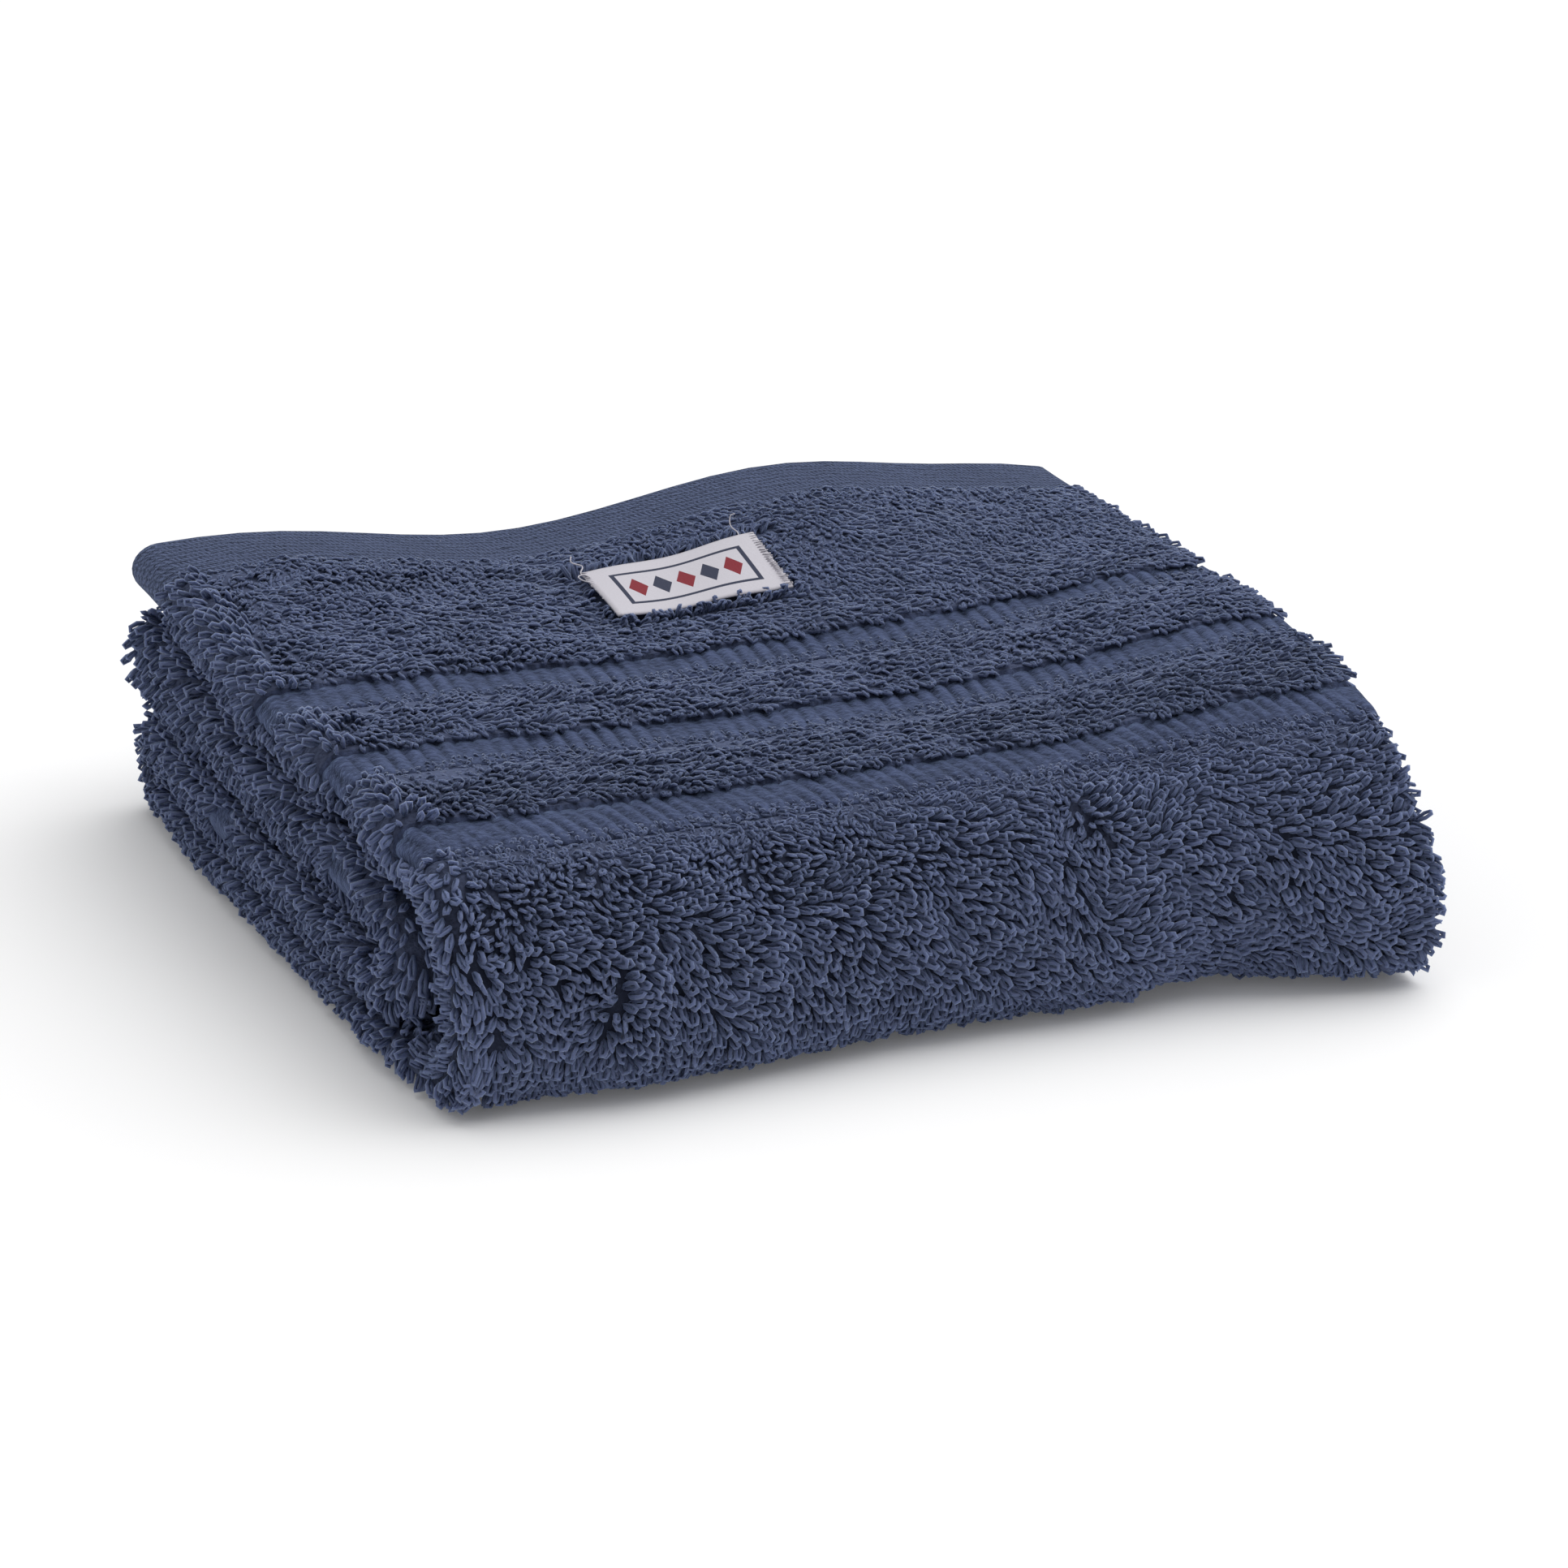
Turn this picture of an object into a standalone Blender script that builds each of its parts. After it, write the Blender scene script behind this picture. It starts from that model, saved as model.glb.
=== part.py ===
"""Folded terry hand towel with a woven label.

One cut of looped terry, 500 mm by 885 mm, is folded along its length and then
twice across, so that eight layers lie on one another. The lengthwise fold lies
at the left (-X) and shows as four round folds, one above another. The last fold
faces the front (-Y) and runs from the top down to the surface. The selvedges
lie at the right and the hems at the back. Each short side of the cloth carries
a flat hem and three flat ribbed bands between stripes of pile.

Cloth coordinates: `across` runs from the upper selvedge (0) to the left fold
and back to the lower selvedge (500 mm); `along` runs from the hem on top (0)
over the front fold, under the towel, round the back and inside to the other hem
(885 mm). Units are metres, +Z is up, and the towel rests on z = 0.
"""
import math

import bpy
from mathutils import Vector

# The cut cloth
CLOTH_WIDTH = 0.500
CLOTH_LENGTH = 0.885
# Air between two layers
LAYER_GAP = 0.0009

# The four runs of the doubled cloth, in the order of the cloth from the top hem:
# name, height of one layer with its pile, where its layer nearer the upper selvedge
# lies (1 is above the other), x of its left fold, and y where the run starts
RUNS = (
    ("top", 0.0092, 1, -0.1250, 0.1170),
    ("floor", 0.0056, -1, -0.1280, -0.0775),
    ("third", 0.0062, 1, -0.1280, 0.1060),
    ("second", 0.0084, -1, -0.1260, -0.0660),
)
STACK_ORDER = ("floor", "third", "second", "top")
# Cloth in the front turn, and how much thinner it is pressed there
FRONT_TURN = 0.106
TURN_PRESS = 0.24

# The flat weaves: their thickness, and how far their middle lies below the pile's
HEM_THICKNESS = 0.0040
HEM_SINK = 0.0004
BAND_THICKNESS = 0.0022
BAND_SINK = 0.0024
# Pile rises over this length to its full height, ends in a step of this length
SOFT_START = 0.010
SOFT_START_HEIGHT = 0.45
EDGE_STEP = 0.0008

# Zones of the cloth from each hem, in order: kind and width
ZONES = (
    ("hem", 0.029),
    ("pile", 0.073),
    ("band", 0.015),
    ("pile", 0.027),
    ("band", 0.015),
    ("pile", 0.029),
    ("band", 0.018),
)
# The inner hem's last band is lost in a tight turn and has the shape of pile
INNER_ZONES = ZONES[:5]

# How the square fold has slumped. The front foot: how far it has gone forward, how
# square its roll is (1 is round), and the place of the stretch that stands clear
FOOT_FORWARD = 0.024
FOOT_SQUARE = 0.60
FOOT_LIFT = 0.003
FOOT_LIFT_X = 0.072
FOOT_LIFT_REACH = 0.020
# Left and right ends: how far they bulge, pull in or drift, and how unevenly the
# layers end
LEFT_BULGE = 0.0045
LEFT_BULGE_Y = 0.015
LEFT_BULGE_REACH = 0.050
BACK_LEFT_OUT = 0.0020
BACK_CORNER_IN = 0.004
FOOT_CORNER = 0.005
RIGHT_IN = 0.0035
RIGHT_FOOT = 0.0045
BAND_DRIFT = 0.006
BAND_DRIFT_REACH = 0.080
BAND_DRIFT_FROM = -0.070
RIGHT_DRIFT = 0.005
EDGE_STAGGER = 0.0016
STAGGER_WAVES = 9.0
# Where the left end, the right end and the front begin, and how far they reach
LEFT_FROM, LEFT_REACH = -0.060, 0.060
RIGHT_FROM, RIGHT_REACH = 0.050, 0.070
FRONT_FROM, FRONT_REACH = -0.035, 0.080
CORNER_FROM, CORNER_REACH = 0.060, 0.055
# Moves the towel so that the middle of its box is at x = 0
CENTRE_SHIFT = 0.0012

# Rises of the top: centre x and y, reach in x and y, height
TOP_SHAPES = (
    ("back left crown", -0.098, 0.098, 0.040, 0.070, 0.0068),
    ("back right crown", 0.046, 0.105, 0.042, 0.070, 0.0075),
    ("right side rise", 0.115, -0.040, 0.050, 0.075, 0.0070),
    ("hollow behind the label", -0.028, 0.115, 0.032, 0.060, -0.0020),
    ("back right corner", 0.136, 0.125, 0.018, 0.045, -0.0040),
    ("back left corner", -0.130, 0.122, 0.024, 0.020, 0.0020),
    ("left side rise", -0.110, -0.020, 0.060, 0.060, 0.0030),
)
BACK_RISE = 0.0060

# In and out waves of the front face: centre x, reach, how far back it goes
FRONT_WAVES = (
    ("left belly", -0.075, 0.035, -0.005),
    ("middle hollow", 0.012, 0.050, 0.007),
    ("right hollow", 0.072, 0.022, 0.008),
    ("right flare", 0.125, 0.024, -0.003),
)

# The underside is a little uneven: it stands this clear of the surface, and rests on
# it at three places, given by x and y
UNDER_CLEAR = 0.0007
REST_PLACES = (
    ("front left", -0.110, -0.090),
    ("front right", 0.108, -0.090),
    ("back", 0.000, 0.106),
)

# Mesh steps: length of one facet of pile, and facets in each run and turn
SHOWN_STEP = 0.016
HIDDEN_STEP = 0.034
FRONT_STEPS = 12
TIGHT_TURN_STEPS = 7
RUN_STEPS = 5
OVER_STEPS = 14
UNDER_STEPS = 7
LEFT_TURN_STEPS = 8

# The woven label
LABEL_WIDTH = 0.047
LABEL_DEPTH = 0.031
LABEL_THICKNESS = 0.0008
LABEL_ACROSS = 0.1265
LABEL_ALONG = 0.0675
LABEL_TURN = math.radians(6.0)
LABEL_CLEARANCE = 0.0009
LABEL_COLUMNS = 11
LABEL_ROWS = 8

PITCH = {name: pitch for name, pitch, *_ in RUNS}


def stack_middles():
    """Height of the middle of each doubled run, the lowest on the surface."""
    middles, top = {}, -LAYER_GAP / 2
    for name in STACK_ORDER:
        middles[name] = top + PITCH[name]
        top += 2 * PITCH[name]
    return middles, top - LAYER_GAP / 2


MIDDLE, STACK_HEIGHT = stack_middles()
THICKEST = PITCH["top"] - LAYER_GAP
FOLD_LENGTH = math.pi * THICKEST / 2
ACROSS_RUN = (CLOTH_WIDTH - FOLD_LENGTH) / 2
BACK_Y = RUNS[0][4]


def path_sections():
    """Stretches of the doubled cloth: along at start and end, run, next run or None."""
    sections, along = [], 0.0
    for index, (name, _, _, _, start_y) in enumerate(RUNS):
        if index + 1 == len(RUNS):
            sections.append((along, CLOTH_LENGTH, name, None))
            break
        following, next_y = RUNS[index + 1][0], RUNS[index + 1][4]
        run_end = along + abs(next_y - start_y)
        half_height = abs(MIDDLE[following] - MIDDLE[name]) / 2
        turn = FRONT_TURN if name == "top" else math.pi * half_height
        sections.append((along, run_end, name, None))
        sections.append((run_end, run_end + turn, name, following))
        along = run_end + turn
    return sections


SECTIONS = path_sections()
RUN_FACTS = {name: (pitch, side, left, start) for name, pitch, side, left, start in RUNS}


def smooth(t):
    """0 below 0, 1 above 1, and an even S between."""
    t = min(max(t, 0.0), 1.0)
    return t * t * (3 - 2 * t)


def bell(t):
    """A soft round bump, 1 at its middle and close to 0 beyond 2."""
    return math.exp(-t * t)


def mix(a, b, share):
    return a + (b - a) * share


def from_hem(along):
    """Distance to the nearer hem."""
    return min(along, CLOTH_LENGTH - along)


def zone_at(along):
    """Kind of weave, and how far its zone starts from the hem."""
    start = 0.0
    for kind, width in ZONES if along < CLOTH_LENGTH / 2 else INNER_ZONES:
        if from_hem(along) < start + width:
            return kind, start
        start += width
    return "pile", start


def pile_share(along):
    """Height of the pile: it starts softly after a flat weave and ends in a step."""
    kind, start = zone_at(along)
    if kind != "pile":
        return 0.0
    grown = smooth((from_hem(along) - start) / SOFT_START)
    return mix(SOFT_START_HEIGHT, 1.0, grown)


def section_at(along):
    """Run, next run (or the same) and share of the turn between them."""
    for start, end, run, following in SECTIONS:
        if along <= end:
            break
    if following is None:
        return run, run, 0.0, along - start
    return run, following, (along - start) / (end - start), 0.0


def layer_shape(along):
    """Thickness of the cloth and how far its middle sinks below that of full pile."""
    run, following, share, _ = section_at(along)
    turned = (1 - math.cos(math.pi * share)) / 2
    full = mix(PITCH[run], PITCH[following], turned) - LAYER_GAP
    if run == "top":
        full *= 1 - TURN_PRESS * math.sin(math.pi * share)
    elif share > 0:
        full = min(full, (PITCH[run] + PITCH[following]) / 2 - LAYER_GAP)
    kind, _ = zone_at(along)
    flat, sink = (HEM_THICKNESS, HEM_SINK) if kind == "hem" else (BAND_THICKNESS, BAND_SINK)
    pile = pile_share(along)
    if along > CLOTH_LENGTH / 2:
        sink = 0.0
    return mix(flat, full, pile), mix(sink, 0.0, pile)


def crosswise(across):
    """Run to the right of the left fold and angle round it, for a place across."""
    from_fold = CLOTH_WIDTH / 2 - across
    if abs(from_fold) > FOLD_LENGTH / 2:
        return abs(from_fold) - FOLD_LENGTH / 2, math.copysign(math.pi / 2, from_fold)
    return 0.0, from_fold / FOLD_LENGTH * math.pi


def height_shares(z):
    """Share of the slump of the top, and of the foot, for a height in the stack."""
    floor_top = PITCH["floor"]
    above = smooth((z - floor_top) / (STACK_HEIGHT - 1.5 * floor_top))
    low = 1 - min(z / STACK_HEIGHT, 1.0)
    return above, low


def top_lift(x, y):
    """Rise of the top over the even stack."""
    lift = BACK_RISE * smooth((y + BACK_Y) / (2 * BACK_Y))
    for _, centre_x, centre_y, reach_x, reach_y, height in TOP_SHAPES:
        lift += height * bell((x - centre_x) / reach_x) * bell((y - centre_y) / reach_y)
    return lift


def settle(x, y, z):
    """Slump of the square fold: waves of the top, its two ends and the front foot."""
    above, low = height_shares(z)
    lift = top_lift(x, y)
    left = smooth((LEFT_FROM - x) / LEFT_REACH)
    right = smooth((x - RIGHT_FROM) / RIGHT_REACH)
    front = smooth((FRONT_FROM - y) / FRONT_REACH)
    front_corner = smooth((-y - CORNER_FROM) / CORNER_REACH)
    back_corner = smooth((y - CORNER_FROM) / CORNER_REACH)
    bulge = bell((y - LEFT_BULGE_Y) / LEFT_BULGE_REACH)
    back = sum(depth * bell((x - centre_x) / reach_x)
               for _, centre_x, reach_x, depth in FRONT_WAVES)
    x += left * (low * FOOT_CORNER * front_corner + low ** 2 * BACK_CORNER_IN * back_corner
                 - above * LEFT_BULGE * bulge - above ** 4 * BACK_LEFT_OUT * back_corner)
    x -= right * mix(RIGHT_IN, -RIGHT_FOOT * front, low)
    under = FOOT_LIFT * bell((x - FOOT_LIFT_X) / FOOT_LIFT_REACH) * front_corner
    y += right * RIGHT_DRIFT * bulge
    y += front * (back * mix(0.35, 1.0, low) - FOOT_FORWARD * low)
    z += UNDER_CLEAR + above * lift + (1 - above) * under
    return Vector((x + CENTRE_SHIFT, y, z))


def cloth_point(across, along, lift=0.0):
    """Place of the cloth's middle surface; `lift` moves it to the side of its face."""
    run, following, share, travelled = section_at(along)
    distance, angle = crosswise(across)
    pitch, side, left, start_y = RUN_FACTS[run]
    next_pitch, next_side, next_left, turn_y = RUN_FACTS[following]
    height = MIDDLE[run] + side * (pitch / 2 + lift) * math.sin(angle)
    next_height = MIDDLE[following] + next_side * (next_pitch / 2 + lift) * math.sin(angle)
    turned = (1 - math.cos(math.pi * share)) / 2
    z = mix(height, next_height, turned)
    forward = -1 if run in ("top", "third") else 1
    if share > 0:
        reach = abs(height - next_height) / 2
        bulge = math.sin(math.pi * share)
        if run == "top" and share > 0.5:
            bulge = bulge ** FOOT_SQUARE
        y = turn_y + forward * reach * bulge
    else:
        y = start_y + forward * travelled
    half = mix(pitch, next_pitch, turned) / 2
    fold_x = mix(left, next_left, turned) + 2 * half - LAYER_GAP / 2
    x = fold_x - (half + lift) * math.cos(angle) + distance
    wave = STAGGER_WAVES * z / STACK_HEIGHT + 3 * y / BACK_Y
    x += EDGE_STAGGER * math.sin(wave) * smooth(distance / ACROSS_RUN)
    if run == "top":
        under = (1 - math.sin(angle)) / 2 * smooth(1 - distance / BAND_DRIFT_REACH)
        y += BAND_DRIFT * under * smooth((y - BAND_DRIFT_FROM) / FRONT_REACH)
    return settle(x, y, z)


def outer_face(across, along):
    """Point on the top of the cloth's top run, and the direction out of it."""
    thickness, sink = layer_shape(along)
    step = 0.0005
    middle = cloth_point(across, along, -sink)
    right = cloth_point(across - step, along, -sink) - middle
    front = cloth_point(across, along + step, -sink) - middle
    out = front.cross(right).normalized()
    if out.z < 0:
        out.negate()
    return middle + out * (thickness / 2), out


def even_steps(start, end, count):
    """Places from start to end, both included."""
    return [start + (end - start) * i / count for i in range(count + 1)]


def zone_rows(zones, step, shown):
    """Places of the rows over the zones, from the hem inwards."""
    rows, start = [0.0], 0.0
    for kind, width in zones:
        end = start + width
        if kind == "pile":
            rows += [start + EDGE_STEP] + ([start + SOFT_START * 0.4] if shown else [])
            count = max(1, round((width - SOFT_START) / step))
            rows += even_steps(start + SOFT_START, end - EDGE_STEP, count)
        else:
            rows += [start + EDGE_STEP / 4] if start > 0 else []
            rows += ([(start + end) / 2] if shown else []) + [end - EDGE_STEP / 4]
        start = end
    return rows + [start + EDGE_STEP, start + SOFT_START * 0.5]


def along_rows():
    """Places of the rows along the whole cloth, from one hem to the other."""
    shown = zone_rows(ZONES, SHOWN_STEP, True)
    hidden = zone_rows(INNER_ZONES, HIDDEN_STEP, False)
    last_row = CLOTH_LENGTH - hidden[-1]
    rows = list(shown)
    for start, end, run, following in SECTIONS:
        if end <= rows[-1]:
            continue
        if following is None:
            steps = RUN_STEPS
        else:
            steps = FRONT_STEPS if run == "top" else TIGHT_TURN_STEPS
        end = min(end, last_row)
        start = max(start, rows[-1])
        if end > start:
            rows += even_steps(start, end, steps)[1:]
    return rows + [CLOTH_LENGTH - row for row in reversed(hidden[:-1])]


def across_rows():
    """Places of the columns across the whole cloth, closer in the left fold."""
    over = even_steps(0.0, ACROSS_RUN, OVER_STEPS)
    turn = even_steps(ACROSS_RUN, ACROSS_RUN + FOLD_LENGTH, LEFT_TURN_STEPS)
    under = even_steps(ACROSS_RUN + FOLD_LENGTH, CLOTH_WIDTH, UNDER_STEPS)
    return over + turn[1:] + under[1:]


def grid_object(name, columns, rows, collection):
    """A grid of columns by rows, with its vertices in reading order."""
    bpy.ops.mesh.primitive_grid_add(
        x_subdivisions=columns - 1, y_subdivisions=rows - 1, size=1.0)
    grid = bpy.context.object
    grid.name = grid.data.name = name
    for other in list(grid.users_collection):
        other.objects.unlink(grid)
    collection.objects.link(grid)
    return grid


def solid_sheet(grid, thickest, group=""):
    """Thickness for an open sheet, evenly to both sides of it."""
    solid = grid.modifiers.new("Thickness", "SOLIDIFY")
    solid.thickness = thickest
    solid.offset = 0.0
    solid.vertex_group = group
    grid.data.shade_smooth()


def fabric_material(name, colour, roughness):
    """Plain cloth finish."""
    material = bpy.data.materials.new(name)
    material.use_nodes = True
    shader = material.node_tree.nodes["Principled BSDF"]
    shader.inputs["Base Color"].default_value = (*colour, 1.0)
    shader.inputs["Roughness"].default_value = roughness
    shader.inputs["Metallic"].default_value = 0.0
    return material


def set_down(sheet):
    """Lower the cloth to the surface at the places that it rests on."""
    floor_middle = UNDER_CLEAR + PITCH["floor"] / 2
    lowest = [vertex for vertex in sheet.vertices if vertex.co.z < floor_middle]
    for _, x, y in REST_PLACES:
        nearest = min(lowest, key=lambda vertex: math.hypot(vertex.co.x - x, vertex.co.y - y))
        nearest.co.z -= UNDER_CLEAR


def make_towel(collection):
    """The folded cloth, hems and bands included, as one closed sheet."""
    columns, rows = across_rows(), along_rows()
    towel = grid_object("towel_cloth", len(columns), len(rows), collection)
    weights = towel.vertex_groups.new(name="thickness")
    for index, vertex in enumerate(towel.data.vertices):
        across = columns[index % len(columns)]
        along = rows[index // len(columns)]
        thickness, sink = layer_shape(along)
        vertex.co = cloth_point(across, along, -sink)
        weights.add([index], thickness / THICKEST, "REPLACE")
    set_down(towel.data)
    solid_sheet(towel, THICKEST, weights.name)
    towel.data.materials.append(fabric_material("Navy terry", (0.080, 0.098, 0.170), 0.95))
    return towel


def make_label(collection):
    """The woven label, a thin sheet that lies on the pile of the top layer."""
    label = grid_object("woven_label", LABEL_COLUMNS, LABEL_ROWS, collection)
    cosine, sine = math.cos(LABEL_TURN), math.sin(LABEL_TURN)
    for index, vertex in enumerate(label.data.vertices):
        right = LABEL_WIDTH * (index % LABEL_COLUMNS / (LABEL_COLUMNS - 1) - 0.5)
        front = LABEL_DEPTH * (index // LABEL_COLUMNS / (LABEL_ROWS - 1) - 0.5)
        across = LABEL_ACROSS - (right * cosine - front * sine)
        along = LABEL_ALONG + right * sine + front * cosine
        face, out = outer_face(across, along)
        vertex.co = face + out * (LABEL_CLEARANCE + LABEL_THICKNESS / 2)
    solid_sheet(label, LABEL_THICKNESS)
    label.data.materials.append(fabric_material("White woven label", (0.62, 0.60, 0.66), 0.7))
    return label


def main():
    for leftover in list(bpy.data.objects):
        bpy.data.objects.remove(leftover, do_unlink=True)
    collection = bpy.data.collections.new("Hand towel")
    bpy.context.scene.collection.children.link(collection)
    make_towel(collection)
    make_label(collection)


main()
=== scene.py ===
"""Looks of the folded terry hand towel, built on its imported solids.

The fold is restated as a function of the cloth's own coordinates: `across` runs from
the upper selvedge (0) to the left fold and back to the lower selvedge, and `along`
runs from the hem on top (0) over the front fold, underneath, round the back and
inside to the other hem. Units are metres, +Z is up, the front faces -Y.
"""
import math
import random
from collections import namedtuple

import bpy
from mathutils import Matrix, Vector, noise


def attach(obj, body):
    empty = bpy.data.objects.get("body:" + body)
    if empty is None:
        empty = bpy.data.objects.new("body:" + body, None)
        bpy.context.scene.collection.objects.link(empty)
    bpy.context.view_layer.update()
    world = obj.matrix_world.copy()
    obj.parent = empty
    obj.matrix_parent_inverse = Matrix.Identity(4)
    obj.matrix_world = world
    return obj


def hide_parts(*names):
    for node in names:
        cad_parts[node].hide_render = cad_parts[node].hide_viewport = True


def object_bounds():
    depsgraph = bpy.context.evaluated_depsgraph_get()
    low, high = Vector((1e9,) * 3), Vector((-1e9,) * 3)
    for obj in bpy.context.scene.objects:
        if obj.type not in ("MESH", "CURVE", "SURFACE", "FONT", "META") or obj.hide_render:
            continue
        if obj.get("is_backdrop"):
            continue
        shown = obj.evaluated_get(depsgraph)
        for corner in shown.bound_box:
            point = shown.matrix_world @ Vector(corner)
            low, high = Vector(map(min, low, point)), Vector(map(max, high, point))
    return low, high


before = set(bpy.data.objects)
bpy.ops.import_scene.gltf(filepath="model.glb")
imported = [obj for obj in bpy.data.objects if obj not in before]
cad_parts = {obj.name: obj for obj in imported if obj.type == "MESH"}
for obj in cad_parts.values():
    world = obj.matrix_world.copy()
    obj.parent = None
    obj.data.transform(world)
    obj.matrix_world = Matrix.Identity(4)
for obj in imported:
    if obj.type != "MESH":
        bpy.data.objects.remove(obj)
CAD_LOW, CAD_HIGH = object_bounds()

# ---------------------------------------------------------------- sizes of the cloth
CLOTH_WIDTH = 0.500
CLOTH_LENGTH = 0.885
LAYER_GAP = 0.0009
# Runs of the doubled cloth in its own order: height of one layer with its pile, side of
# the layer nearer the upper selvedge, x of the left fold, y where the run starts
Run = namedtuple("Run", "name pitch side left_x start_y")
RUNS = (
    Run("top", 0.0092, 1, -0.1250, 0.1170),
    Run("floor", 0.0056, -1, -0.1280, -0.0775),
    Run("third", 0.0062, 1, -0.1280, 0.1060),
    Run("second", 0.0084, -1, -0.1260, -0.0660),
)
RUN = {run.name: run for run in RUNS}
STACK_ORDER = ("floor", "third", "second", "top")
# Length of the cloth in the front turn, and the share that it is pressed thinner there
FRONT_TURN = 0.106
TURN_PRESS = 0.24
# The ground under the pile rises over this way after a flat weave, from this share
SOFT_START = 0.010
SOFT_START_HEIGHT = 0.45
# Kinds of weave from the first hem on, with their widths
ZONES = (
    ("hem", 0.029),
    ("pile", 0.073),
    ("band", 0.015),
    ("pile", 0.027),
    ("band", 0.015),
    ("pile", 0.029),
    ("band", 0.018),
)
# The inner end of the cloth: its bands are not seen, apart from two flat patches
INNER_ZONES = (
    ("hem", 0.008),
    ("pile", 0.448),
)

# The slump of the square fold: its front foot comes forward and lifts off the floor once
FOOT_FORWARD = 0.024
FOOT_SQUARE = 0.60
FOOT_LIFT = 0.003
FOOT_LIFT_X = 0.072
FOOT_LIFT_REACH = 0.020
# The left side bulges above; its corners go in at the foot, and the back one out above
LEFT_BULGE = 0.0045
LEFT_BULGE_Y = 0.015
LEFT_BULGE_REACH = 0.050
BACK_LEFT_OUT = 0.0020
BACK_CORNER_IN = 0.004
FOOT_CORNER = 0.005
# The right side goes in above, out at the front foot, and back in its middle
RIGHT_IN = 0.0035
RIGHT_FOOT = 0.0045
RIGHT_DRIFT = 0.005
# By the left fold, the lower layer of the top run lies further back
BAND_DRIFT = 0.006
BAND_DRIFT_REACH = 0.080
BAND_DRIFT_FROM = -0.070
# The layers end unevenly at the right
EDGE_STAGGER = 0.0016
STAGGER_WAVES = 9.0
# Where the sides, the front and the corners begin, and the way over which they come in
LEFT_FROM, LEFT_REACH = -0.060, 0.060
RIGHT_FROM, RIGHT_REACH = 0.050, 0.070
FRONT_FROM, FRONT_REACH = -0.035, 0.080
CORNER_FROM, CORNER_REACH = 0.060, 0.055
CENTRE_SHIFT = 0.0012
UNDER_CLEAR = 0.0007
# Rises and hollows of the top: x and y of the middle, reach in x and y, height
TOP_SHAPES = (
    ("back left crown", -0.098, 0.098, 0.040, 0.070, 0.0068),
    ("back right crown", 0.046, 0.105, 0.042, 0.070, 0.0075),
    ("right side rise", 0.115, -0.040, 0.050, 0.075, 0.0070),
    ("hollow behind the label", -0.028, 0.115, 0.032, 0.060, -0.0020),
    ("back right corner", 0.136, 0.125, 0.018, 0.045, -0.0040),
    ("back left corner", -0.130, 0.122, 0.024, 0.020, 0.0020),
    ("left side rise", -0.110, -0.020, 0.060, 0.060, 0.0030),
)
BACK_RISE = 0.0060
# Waves of the front: x of the middle, reach, how far they lie back
FRONT_WAVES = (
    ("left belly", -0.075, 0.035, -0.005),
    ("middle hollow", 0.012, 0.050, 0.007),
    ("right hollow", 0.072, 0.022, 0.008),
    ("right flare", 0.125, 0.024, -0.003),
)

# The room of the pile on one face, and the woven ground and flat weaves below it
PILE_HEIGHT = 0.0026
PILE_SHARE_MOST = 0.33
HEM_THICKNESS = 0.0040
HEM_SINK = 0.0004
BAND_THICKNESS = 0.0018
BAND_SINK = 0.0010
EDGE_ROUND = 0.0022
# Rows of stitches in the hem: their pitch, their slant in rows a metre, a stitch's length
HEM_ROW_PITCH = 0.0026
HEM_ROW_SLANT = 22.0
HEM_STITCH_PITCH = 0.0013

# Ribs of the flat bands
RIB_PITCH = 0.0043
RIB_HEIGHT = 0.0012
RIB_SLANTS = (0.06, 0.06, -0.20)
RIB_STEPS = 7
RIB_ROWS = 9

# Loops of the pile
LoopSizes = namedtuple("LoopSizes", "length width yarn segments start_turn curl")
# Named inputs of the loops' node tree, in the order of those sizes
LOOP_INPUTS = ("Loop length", "Loop width", "Yarn width", "Segments", "Start turn", "Curl")
TOP_LOOPS = LoopSizes(0.0032, 0.0022, 0.00105, 6, math.pi / 6, 0.35)
START_LOOPS = TOP_LOOPS._replace(length=0.0031)
GROWING_LOOPS = LoopSizes(0.0037, 0.0024, 0.00115, 6, math.pi / 6, 0.25)
FRONT_LOOPS = LoopSizes(0.0047, 0.0028, 0.00132, 7, 0.0, 0.20)
LEFT_LOOPS = LoopSizes(0.0041, 0.0025, 0.00122, 6, math.pi / 6, 0.20)
YARN_FLATNESS = 0.60
YARN_SIDES = 3
# How far the roots stand apart, for each kind of loops
TOP_SPACING = 0.00185
GROWING_SPACING = 0.0021
FRONT_SPACING = 0.0024
LEFT_SPACING = 0.0025
BACK_SPACING = 0.0027
UNDER_SPACING = 0.0056
EDGE_SPACING = 0.0019
# Bend and sideways twist of the three loops that the pile is mixed from
LOOP_VARIANTS = ((1.0, 0.0), (0.8, 0.30), (1.25, -0.30))
# How far the first loops of a stripe stand on the flat weave before it, at the right and
# at the left, and how short and uneven they are by the hem and by the bands
EARLY_START = 0.0058
EARLY_END = 0.0030
HEM_TUFTS_END, HEM_TUFTS_LEAST, HEM_UNEVEN = 0.040, 0.85, 0.0026
BAND_TUFTS_LEAST, BAND_UNEVEN = 0.30, 0.0019
# Bands that the pile covers towards the upper selvedge: end of the band, reach, width
RIGHT_TAPERS = ((0.117, 0.0075, 0.050), (0.159, 0.0040, 0.030))
BARE_END = 0.0010
THIN_PILE_LEAST = 0.62
# The left folds: share of the turn where loops begin to cover the bands, and their length
BAND_END_TURN = 0.42
COVERING_LENGTH = 0.8
NOTCH_HEIGHT = 0.034
LEFT_FACING = Vector((-0.5, -0.8, 0.3))
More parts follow.
